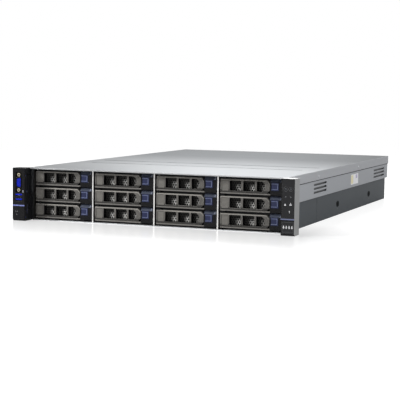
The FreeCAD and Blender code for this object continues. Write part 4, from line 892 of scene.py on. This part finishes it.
def ear_front(name, strip, low, high):
    """An ear's front: a panel in a black rim, crossed by a pale line on its trim strip."""
    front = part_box("right_ear")[0].y
    f = Finish(name)
    fine = f.grain()
    rim = f.y < front + 0.3 * MM
    band = rim * f.within(f.z, STRIP_LOW * MM, STRIP_HIGH * MM)
    panel = f.blend(f.noise(30, 3), low, high)
    tone = f.blend(band, f.blend(rim, panel, (0.008, 0.008, 0.009)), strip)
    return f.surface(Base_Color=tone, Roughness=0.38 + 0.1 * (fine - 0.5) - 0.1 * band,
                     Specular_IOR_Level=0.1, Normal=f.bump(fine, 0.00004))


def right_ear_finish(spot, normal):
    """0 the front, 1 the silver case, 2 black inside."""
    if normal.x < -0.5 or (spot.x < 4 and normal.y > 0.5):
        return 2
    return 0 if spot.y < 6.9 and abs(normal.x) < 0.5 and normal.z < 0.6 else 1


def left_ear_finish(spot, normal):
    """0 the front, 1 the black case, 2 the ports' insides, 3 blue tongues, 4 jack posts."""
    across, inward = abs(spot.x - PORT_MIDDLE), spot.y > 0.4 and normal.y < 0.5
    for level, half in ((VGA_LEVEL, (4.25, 8.5)), *((level, (6.6, 2.9)) for level in USB_LEVELS)):
        if inward and across < half[0] and abs(spot.z - level) < half[1]:
            deep = across < half[0] / 2 and abs(spot.z - level) < half[1] / 2
            return 3 if deep and spot.y > 4.3 else 2
    if inward and across < 2.95 and abs(abs(spot.z - VGA_LEVEL) - POST_SPREAD) < 2.95:
        return 4
    return 0 if spot.y < 4.2 and normal.y < -0.3 else 1


def ear_point(node, x, y, z):
    """A place in the frame from one in an ear's own millimetres."""
    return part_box(node)[0] + Vector((x, y, z)) * MM


def right_ear_marks(mesh):
    """Plain lamps and marks on the panel: 0 white, 1 dim, 2 thin grey lines."""
    def spot(x, z, depth=0.5):
        return ear_point("right_ear", x, depth, z)

    for x in BUTTON_PLACES:
        add_ring(mesh, spot(x, BUTTON_LEVEL, 0.36), "y", 3.55 * MM, 3.05 * MM, 0.2 * MM, 2)
    for x, z, radius, finish in ((7.1, 59.4, 0.7, 1), (14.9, 59.4, 0.9, 1), (6.4, 47.9, 1.05, 0),
                                 (13.4, 37.6, 0.75, 0)):
        add_rod(mesh, spot(x, z, 0.34), "y", radius * MM, 0.3 * MM, finish, rounding=0.05 * MM)
    for low, high in (((4.9, 46.0), (7.9, 47.2)), ((13.2, 46.6), (16.8, 48.2)),
                      ((14.5, 48.4), (15.5, 50.4)), ((12.9, 35.0), (13.9, 36.6))):
        add_box(mesh, spot(low[0], low[1], 0.36), spot(high[0], high[1], 0.6), 0, 0.05 * MM)
    add_frame(mesh, spot(2.2, 5.4, 0.40), spot(19.8, 21.0, 0.62), 0.35 * MM, 2)
    for z, size in ((13.2, (1.5, 0.3, 4.6)), (12.6, (2.7, 0.24, 1.1))):
        add_row(mesh, BLOCKS, spot(4.6, z, 0.48) / MM, (4.4, 0, 0), 4, size)


def left_ear_ports(mesh):
    """Ports' inserts, small fixings and two painted glints: 0 blue, 1 black, 2 steel, 3 white, 4
    grey.
    """
    def spot(x, z, depth):
        return ear_point("left_ear", x, depth, z)

    middle = spot(PORT_MIDDLE, VGA_LEVEL, 0.5)
    outline = d_outline((0, 0), 14.8, 6.7, 1.1, turned=True)
    add_prism(mesh, "y", middle.y + 0.15 * MM, middle.y + 6 * MM,
              [(middle.x + x * MM, middle.z + z * MM) for x, z in outline])
    for x, z, count in ((-1.9, -4.6, 5), (0, -5.7, 5), (1.9, -4.6, 5)):
        add_row(mesh, CANS, (middle.x / MM + x, middle.y / MM + 0.15, middle.z / MM + z),
                (0, 0, 2.29), count, (0.9, 0.2, 0.9), 1, TURNS["y"])
    for level in USB_LEVELS:
        add_box(mesh, spot(5.2, level - 0.1, 0.8), spot(16.8, level + 2.2, 9), 0, 0.15 * MM)
        add_box(mesh, spot(5.2, level - 2.3, 3.0), spot(16.8, level - 0.2, 9), 1)
        add_row(mesh, BLOCKS, spot(7.6, level - 0.14, 3.0) / MM, (2.25, 0, 0), 4,
                (1.0, 3.6, 0.1), 2)
    for level in (VGA_LEVEL + POST_SPREAD, VGA_LEVEL - POST_SPREAD):
        add_rod(mesh, spot(PORT_MIDDLE, level, 0.40), "y", 1.3 * MM, 0.15 * MM, 1)
    add_box(mesh, spot(18.6, 46.6, 0.3), spot(19.6, 50.6, 0.7), 3, 0.1 * MM)
    inner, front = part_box("left_ear")[1].x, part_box("left_ear")[0].y
    # the two small discs high and low near the front are painted glints where the corners of the
    # inner side's hollow catch the light
    for y, z, radius in ((8.5, 48, 1.5), (3.5, 74, 0.8), (4.5, 6, 0.9)):
        place = ear_point("left_ear", 0, y, z)
        add_rod(mesh, (inner - 0.2 * MM, place.y, place.z), "x", radius * MM, 0.5 * MM, 4,
                rounding=0.1 * MM)
    add_box(mesh, (inner - 0.2 * MM, front + 9 * MM, 12 * MM),
            (inner + 0.15 * MM, front + 10 * MM, 27 * MM), 4, 0.05 * MM)
    for x, z in ((6.0, 15.5), (9.0, 15.5), (7.5, 10.5)):
        add_rod(mesh, spot(x, z, 0.42), "y", 0.45 * MM, 0.15 * MM, 2, sides=12)


def ear_brackets(mesh):
    """The folded tabs that carry the ears on the side walls, and the ribs in each hollow."""
    low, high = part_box("right_ear")
    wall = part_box("drive_cage")[1].x + 0.7 * MM
    for side in (-1, 1):
        inner, near = side * low.x, side * wall
        add_box(mesh, (min(inner, near), high.y - 2.2 * MM, 0.6 * MM),
                (max(inner, near), high.y + 1.0 * MM, RECESS_TOP + 1.0 * MM), 0, 0.1 * MM)
        groove = side * (low.x + 1.1 * MM), side * (low.x + 1.9 * MM)
        for y in (8.5, 15.0):
            add_box(mesh, (min(groove), low.y + y * MM, 21 * MM),
                    (max(groove), low.y + (y + 1.2) * MM, 75 * MM), 1, 0.3 * MM)


def button_sign(mesh, middle):
    """A plain ring and stroke on a button's face."""
    add_ring(mesh, middle, "y", 1.3 * MM, 0.95 * MM, 0.15 * MM)
    add_box(mesh, middle + Vector((-0.2, 0, 0.2)) * MM, middle + Vector((0.2, 0.15, 1.7)) * MM)


def make_ears():
    trim, blue = (0.17, 0.19, 0.31), (0.19, 0.22, 0.50)
    rounded("right_ear", "ear_right", 0.35 * MM,
            (ear_front("ear_front_right", trim, (0.020, 0.020, 0.0215), (0.027, 0.027, 0.029)),
             EAR_SILVER, EAR_BLACK), right_ear_finish)
    rounded("left_ear", "ear_left", 0.3 * MM,
            (ear_front("ear_front_left", blue, (0.007, 0.007, 0.008), (0.010, 0.010, 0.011)),
             EAR_BLACK, SOCKET_BLACK, PORT_BLUE, POST_BRASS), left_ear_finish)
    dress("ear_marks", "right_ear", (MARK_WHITE, LAMP_DIM, RING_GREY), right_ear_marks)
    dress("ear_ports", "left_ear", (PORT_BLUE, SOCKET_BLACK, PORT_STEEL, MARK_WHITE, RING_GREY),
          left_ear_ports)
    dress("ear_tabs", "left_ear", (EAR_BLACK, EAR_CHARCOAL), ear_brackets)
    for name, x in zip(("power_button", "locator_button"), BUTTON_PLACES):
        rounded(name, name.replace("_", "_cap_"), 0.3 * MM, (EAR_BLACK,))
        dress(name + "_sign", name, (LAMP_DIM,), button_sign,
              ear_point("right_ear", x, 0.12, BUTTON_LEVEL))


# ---------------------------------------------------------------- cover and flanks
FLANK, LOWER_FLANK = 222.0, 217.5
VENTS = ((-203.0, 79.0, 50.5), (225.0, 90.0, 49.5))     # start, length and lowest slot of each


def cover_screw_heads(mesh):
    """Two screws low on each side of the cover's skirt."""
    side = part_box("top_cover")[1].x
    for facing in (-1, 1):
        add_screws(mesh, (facing * side, -180 * MM, 78 * MM), (0, 272 * MM, 0), 2,
                   (facing, 0, 0), 2.6 * MM, 0.8 * MM)


def flank_details(mesh):
    """Both flanks: 0 dark joints and holes, 1 bright pins, 2 a stud, 3 grey sheets behind the vents
    that give their slots a painted shade.
    """
    for side in (-1, 1):
        def block(x0, x1, y0, y1, z0, z1, finish=0):
            low, high = sorted((side * x0 * MM, side * x1 * MM))
            add_box(mesh, (low, y0 * MM, z0 * MM), (high, y1 * MM, z1 * MM), finish)

        def disc(y, z, radius, x0, x1, finish):
            add_rod(mesh, (min(side * x0, side * x1) * MM, y * MM, z * MM), "x", radius * MM,
                    (x1 - x0) * MM, finish, rounding=0.03 * MM)

        block(FLANK - 0.2, FLANK + 1.1, -349, 343, 71.3, 72.25)
        # grey sheets just inside the wall behind each vent: painted shade for the slots
        for start, length, low in VENTS:
            block(218.2, 218.8, start - 4, start + length + 4, low - 4, low + 20, 3)
        for y in (-31, 205):
            for shift in (-5, 0, 5):
                disc(y + shift, 20, 4.8 + 0.9 * (shift == 0), LOWER_FLANK - 0.9,
                     LOWER_FLANK + 0.04, 0)
            disc(y + 1, 11.2, 0.8, LOWER_FLANK - 0.5, LOWER_FLANK + 0.12, 1)
        block(LOWER_FLANK - 0.3, LOWER_FLANK + 0.06, -167.5, -166.6, 31, 43)
        disc(-62, 25.5, 1.9, LOWER_FLANK - 0.4, LOWER_FLANK + 0.05, 2)


def sticker(mesh):
    """A small service sticker on the right flank, with no words on it."""
    for layer, (y0, y1, z0, z1) in enumerate(((44, 98, 48.5, 67), (45.5, 60, 50, 65.5),
                                              (79, 91, 58.5, 65.5))):
        rise = (0.06 + 0.03 * layer) * MM
        add_box(mesh, (FLANK * MM - 0.1 * MM, y0 * MM, z0 * MM),
                (FLANK * MM + rise, y1 * MM, z1 * MM), layer)


def make_cover():
    rounded("top_cover", "cover", 0.3 * MM, (COVER_COAT, COVER_SIDE),
            lambda spot, normal: abs(normal.x) > 0.5)
    heads = dress("cover_screw_heads", "cover_screws", (ZINC_SCREW,), cover_screw_heads)
    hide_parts("cover_screws")
    dress("flank_details", "chassis", (GROOVE_BLACK, SCREW_STEEL, EAR_CHARCOAL, VENT_SHADE_GREY),
          flank_details)
    dress("service_sticker", "chassis", (LABEL, LABEL_YELLOW, LABEL_VIOLET), sticker)


# ---------------------------------------------------------------- fans, boards and duct
FAN_PITCH, FAN_SIDE, FAN_SCREW_INSET = 106 * MM, 80 * MM, 4.5 * MM


def fan_screws(mesh):
    """Four screws on the front of each fan, near its corners."""
    low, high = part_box("fan_frames")
    span = FAN_SIDE - 2 * FAN_SCREW_INSET
    for index in range(4):
        left = (index - 1.5) * FAN_PITCH - span / 2
        for z in (low.z + FAN_SCREW_INSET, high.z - FAN_SCREW_INSET):
            add_screws(mesh, (left, low.y, z), (span, 0, 0), 2, (0, -1, 0), 2.2 * MM, 0.6 * MM)


def hub_sticker(mesh, rotor):
    """A white disc with a ring on a fan's hub."""
    low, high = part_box(rotor)
    middle = (low + high) / 2
    add_rod(mesh, (middle.x, low.y - 0.08 * MM, middle.z), "y", 12 * MM, 0.12 * MM,
            sides=40, rounding=0.03 * MM)
    add_ring(mesh, (middle.x, low.y - 0.1 * MM, middle.z), "y", 11 * MM, 10.4 * MM, 0.05 * MM, 1,
             sides=40)


def board_parts(mesh):
    """Small parts of the mainboard: 0 black, 1 aluminium, 2 gold, 3 white."""
    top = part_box("mainboard")[0].z / MM + 1.6
    for y in (118, 142, 150, 166, 174):
        add_row(mesh, CANS, (28, y, top + 4), (9.5, 0, 0), 7, (6.4, 6.4, 8), 1 if y % 4 else 0)
    for x in (-180, -120, 66, 150):
        add_row(mesh, BLOCKS, (x, 115, top + 3), (9, 0, 0), 5, (7.4, 7.4, 6))
    for x, y, level, step, count, size, finish in (
            (-182, 126, 5, (0, 9.5, 0), 3, (40, 7, 10), 3),
            (-110, 134, 1, (22, 0, 0), 3, (14, 14, 2), 0),
            (130, 200, 0.8, (0, 24, 0), 4, (12, 16, 1.6), 0),
            (170, 200, 4, (0, 26, 0), 3, (7, 22, 8), 0),
            (170, 200, 8.1, (0, 26, 0), 3, (2, 20, 0.2), 2)):
        add_row(mesh, BLOCKS, (x, y, top + level), step, count, size, finish)
    for x in (195, -195):
        add_screws(mesh, Vector((x, -30, top)) * MM, Vector((0, 160, 0)) * MM, 2, (0, 0, 1),
                   3 * MM, 1.6 * MM, 1)


def backplane_sockets(mesh):
    """Pads of gold contacts on the fan side of the backplane, one row for each drive."""
    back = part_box("drive_backplane")[1].y / MM
    for row in range(3):
        for column in range(4):
            x, z = (column - 2) * COLUMN_PITCH + 33, 8.9 + row * ROW_PITCH
            add_row(mesh, BLOCKS, (x, back + 0.05, z), (1.8, 0, 0), 22, (0.9, 0.1, 2.4))


def make_inside():
    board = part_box("mainboard")[0].z
    for node, finish in (("chassis", CHASSIS_COAT), ("drive_cage", CAGE_ZINC),
                         ("drive_backplane", board_finish("backplane_board", 1)),
                         ("mainboard", board_finish("main_board", board + 1.65 * MM)),
                         ("cpu_heatsinks", FIN_ALUMINIUM), ("memory_modules", memory_finish()),
                         ("fan_frames", FAN_BLACK)):
        finish_node(node, finish)
    rounded("air_duct", "duct", 0.5 * MM, (DUCT_BLACK,))
    rounded("riser_cage", "riser", 0.15 * MM, (ZINC,))
    rounded("information_tag", "tag", 0.3 * MM, (EAR_BLACK,))
    dress("fan_screws", "fan_frames", (SCREW_STEEL,), fan_screws)
    dress("board_parts", "mainboard", (SOCKET_BLACK, FIN_ALUMINIUM, GOLD, PAPER_WHITE),
          board_parts)
    dress("backplane_contacts", "drive_backplane", (GOLD,), backplane_sockets)
    for index in (1, 2, 3, 4):
        rotor = "fan_rotor_%d" % index
        finish_node(rotor, FAN_BLACK)
        dress("hub_sticker_%d" % index, rotor, (PAPER_WHITE, RING_GREY), hub_sticker, rotor)
    low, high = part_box("information_tag")
    dress("tag_sticker", "information_tag", (PAPER_WHITE,), add_box,
          (low.x + 2 * MM, low.y + 6 * MM, high.z - 0.05 * MM),
          (high.x - 2 * MM, low.y + 44 * MM, high.z + 0.06 * MM))


# ---------------------------------------------------------------- rear: supplies and ports
SUPPLY_LENGTH = 185.0
CELL_MARGIN = 2.6                                   # from a field's side to its honeycomb


def supply_finish(spot, normal):
    """0 the sheet, 1 the handle, 2 the inlet's inside, 3 its pins."""
    if spot.y > SUPPLY_LENGTH + 0.1:
        return 1
    if 45 < spot.x < 70 and 20.5 < spot.z < 37.5 and 160 < spot.y < SUPPLY_LENGTH - 0.1:
        return 3 if 50 < spot.x < 66 and 24 < spot.z < 34 and spot.y < SUPPLY_LENGTH - 3 else 2
    return 0


def supply_face(mesh, origin):
    """The fan's honeycomb over a black ground, an inlet rim and a lamp, on a supply's face."""
    def spot(x, z, depth):
        return origin + Vector((x, SUPPLY_LENGTH + depth, z)) * MM

    for x0, z0, width, height in ((3.5, 17.0, 38.5, 20.5), (42, 2.0, 17.8, 15.5)):
        x1, z1 = x0 + width, z0 + height
        add_box(mesh, spot(x0, z0, -0.1), spot(x1, z1, 0.08), 0)
        honeycomb(mesh, spot(x0 + CELL_MARGIN, z0 + CELL_MARGIN, 0.3),
                  (width - 2 * CELL_MARGIN) * MM, (height - 2 * CELL_MARGIN) * MM,
                  4.3 * MM, 0.8 * MM, 0.5 * MM, 1)
        add_frame(mesh, spot(x0 - 0.4, z0 - 0.4, -0.1), spot(x1 + 0.4, z1 + 0.4, 0.5), 0.8 * MM, 1)
    add_frame(mesh, spot(44.9, 20.4, -0.1), spot(70.1, 37.6, 0.7), 0.7 * MM, 0)
    add_rod(mesh, spot(65.5, 14.0, -0.1), "y", 1.3 * MM, 0.6 * MM, 2, rounding=0.2 * MM)


PORTS = (("network", -28, 13.5), ("network", -6, 13.5), ("usb", 34, 13.5), ("usb", 54, 13.5),
         ("usb", 76, 15.6), ("wide", 104, 12.5), ("wide", 138, 12.5))


def rear_ports(mesh):
    """Faces of the rear ports: 0 steel, 1 black, 2 blue, 3 gold, 4 lamp."""
    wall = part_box("chassis")[1].y / MM - 1.2
    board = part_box("mainboard")[0].z / MM + 1.6

    def block(x0, x1, z0, z1, proud, finish):
        add_box(mesh, Vector((x0, wall - 0.3, board + z0)) * MM,
                Vector((x1, wall + proud, board + z1)) * MM, finish, 0.05 * MM)

    for kind, x, tall in PORTS:
        if kind == "network":
            for half, low, high, proud, finish in ((8.2, 0.3, tall - 0.3, 0.35, 0),
                                                   (6, 2.2, 9.2, 0.45, 1),
                                                   (2.5, 9.0, 11.2, 0.45, 1)):
                block(x - half, x + half, low, high, proud, finish)
            block(x - 7.4, x - 4.6, 10.4, 12, 0.5, 4)
            block(x + 4.6, x + 7.4, 10.4, 12, 0.5, 4)
            add_row(mesh, BLOCKS, (x - 3.9, wall + 0.42, board + 3.2), (1.1, 0, 0), 8,
                    (0.45, 0.2, 1.8), 3)
        elif kind == "usb":
            block(x - 7, x + 7, 0.3, tall - 0.3, 0.35, 0)
            for low in (0.9, tall / 2 + 0.3):
                block(x - 6.3, x + 6.3, low, low + 5.1, 0.42, 1)
                block(x - 5.6, x + 5.6, low + 2.6, low + 4.6, 0.5, 2)
        else:
            middle, video = board + 6.3, x > 120
            block(x - 15.2, x + 15.2, 0.3, tall - 0.3, 0.3, 0)
            for sizes, start, end, finish in (((17.2, 8.6, 1.1), -0.2, 0.9, 0),
                                              ((16.0, 7.4, 1.0), 0.4, 1.0, 2 if video else 1)):
                add_prism(mesh, "y", (wall + start) * MM, (wall + end) * MM,
                          [(a * MM, c * MM) for a, c in d_outline((x, middle), *sizes)], finish)
            for shift, level in ((-4.6, 1.9), (-5.7, 0), (-4.6, -1.9)):
                add_row(mesh, CANS, (x + shift, wall + 1.0, middle + level), (2.29, 0, 0),
                        5, (0.95, 0.1, 0.95), 1 if video else 3, TURNS["y"])
            for post in (x - 12.5, x + 12.5):
                add_rod(mesh, Vector((post, wall, middle)) * MM, "y", 2.6 * MM, 1.1 * MM,
                        sides=6, rounding=0.15 * MM)


SLOT_PITCH, FIRST_SLOT = 20.32, 34


def slot_perforations(mesh):
    """Rows of round holes in the eight slot covers, and the screws that hold them."""
    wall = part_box("chassis")[1].y / MM - 1.2
    for slot in range(8):
        left = FIRST_SLOT + slot * SLOT_PITCH
        for x in (3.0, 6.0, 9.0):
            add_row(mesh, CANS, (left + x, wall + 0.02, 51.2), (0, 0, 3.2), 9, (2.1, 0.1, 2.1), 0,
                    TURNS["y"])
    add_screws(mesh, Vector((FIRST_SLOT + 6, wall + 1.2, 82.4)) * MM,
               Vector((2 * SLOT_PITCH, 0, 0)) * MM, 4, (0, 1, 0), 1.9 * MM, 0.7 * MM, 1)


def make_rear():
    for index in (1, 2):
        name = "power_supply_%d" % index
        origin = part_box(name)[0]
        rounded(name, "supply_%d" % index, 0.5 * MM,
                (SUPPLY_SHEET, HANDLE_BLACK, SOCKET_BLACK, PORT_STEEL), supply_finish)
        dress("supply_face_%d" % index, name, (GROOVE_BLACK, SUPPLY_SHEET, LAMP_WHITE),
              supply_face, origin)
        rounded("supply_catch_%d" % index, "tab_%d" % index, 0.5 * MM, (TAB_ORANGE,))
    dress("rear_ports", "mainboard", (PORT_STEEL, SOCKET_BLACK, PORT_BLUE, GOLD, LAMP_DIM),
          rear_ports)
    dress("slot_holes", "riser_cage", (GROOVE_BLACK, SCREW_STEEL), slot_perforations)


for group in (make_carriers, make_ears, make_cover, make_inside, make_rear):
    group()


# ---------------------------------------------------------------- floor, light and camera
def make_floor():
    """A white floor that keeps the object's shadow and fades into the white around it."""
    mesh = bmesh.new()
    bmesh.ops.create_circle(mesh, cap_ends=True, segments=64, radius=6)
    floor = piece("floor", mesh)
    f = Finish("floor_white")
    reach = f.node("ShaderNodeVectorMath", {"operation": "LENGTH"}, {0: f.place}, "Value")
    f.surface(Base_Color=(0.42, 0.42, 0.42), Roughness=0.6, Specular_IOR_Level=0.0)
    camera_ray = f.node("ShaderNodeLightPath", output="Is Camera Ray")
    glow = f.node("ShaderNodeEmission", {}, {"Color": (1, 1, 1), "Strength": 0.92 * camera_ray})
    lit = f.node("ShaderNodeAddShader", {}, {0: Signal(f, f.shader.outputs[0]), 1: glow})
    gloss = f.node("ShaderNodeBsdfGlossy", {}, {"Color": (1, 1, 1), "Roughness": 0.2})
    sheen = f.limit(f.y, -0.80, -0.37, 0.02, 0.46) * f.limit(f.y, -0.37, -0.20, 1, 0.3)
    polished = f.node("ShaderNodeMixShader", {}, {0: sheen, 1: lit, 2: gloss})
    clear = f.node("ShaderNodeBsdfTransparent")
    ends = f.node("ShaderNodeMixShader", {}, {0: f.limit(reach, 1.2, 2.2), 1: polished, 2: clear})
    f.feed(f.tree.nodes["Material Output"].inputs["Surface"], ends)
    floor.data.materials.append(f.material)


def make_world():
    """White for the eye and for gloss, a plain grey for the light that it gives."""
    world = bpy.data.worlds.new("studio")
    bpy.context.scene.world = world
    world.use_nodes = True
    nodes = Nodes(world.node_tree)
    camera = nodes.node("ShaderNodeLightPath", output="Is Camera Ray")
    seen = camera.math("MAXIMUM", camera, camera.other("Is Glossy Ray"))
    seen = seen.math("MAXIMUM", seen, camera.other("Is Transmission Ray"))
    strength = nodes.node("ShaderNodeMapRange", {}, {"Value": seen, "To Min": 0.22, "To Max": 1.0})
    background = nodes.tree.nodes["Background"]
    nodes.feed(background.inputs["Color"], (1, 1, 1))
    nodes.feed(background.inputs["Strength"], strength)


def softbox(name, place, aim, size, power):
    """A rectangular area lamp that looks at a point and isn't seen itself."""
    lamp = bpy.data.lights.new(name, "AREA")
    lamp.shape = "RECTANGLE"
    lamp.size, lamp.size_y = size
    lamp.energy = power
    made = bpy.data.objects.new(name, lamp)
    bpy.context.scene.collection.objects.link(made)
    made.location = place
    made.rotation_euler = (Vector(aim) - Vector(place)).to_track_quat("-Z", "Y").to_euler()
    made.visible_camera = False


def make_camera():
    """The camera stands in front, to the right and a little above, and looks slightly down."""
    yaw, pitch, roll = math.radians(20.903), math.radians(5.209), math.radians(0.772)
    camera = bpy.data.objects.new("camera", bpy.data.cameras.new("camera"))
    bpy.context.scene.collection.objects.link(camera)
    camera.data.lens = 112.8
    camera.data.sensor_width = 36
    turn = (Matrix.Rotation(yaw, 4, "Z") @ Matrix.Rotation(math.pi / 2 - pitch, 4, "X")
            @ Matrix.Rotation(roll, 4, "Z"))
    camera.matrix_world = Matrix.Translation((0.7778, -2.1804, 0.2247)) @ turn
    bpy.context.scene.camera = camera


make_floor()
make_world()
softbox("key_light", (-1.30, -1.30, 1.10), (0, -0.3, 0.04), (0.36, 0.30), 32)
softbox("fill_light", (-0.1, -2.5, 0.40), (-0.1, -0.35, 0.04), (0.8, 0.5), 6)
softbox("side_light", (1.9, -0.4, 0.9), (0.2, 0, 0.05), (1.2, 1.0), 18)
softbox("back_light", (-0.28, 0.80, 0.80), (0.05, -0.28, 0.087), (0.6, 0.3), 11)
make_camera()

scene = bpy.context.scene
scene.view_settings.view_transform = "Standard"
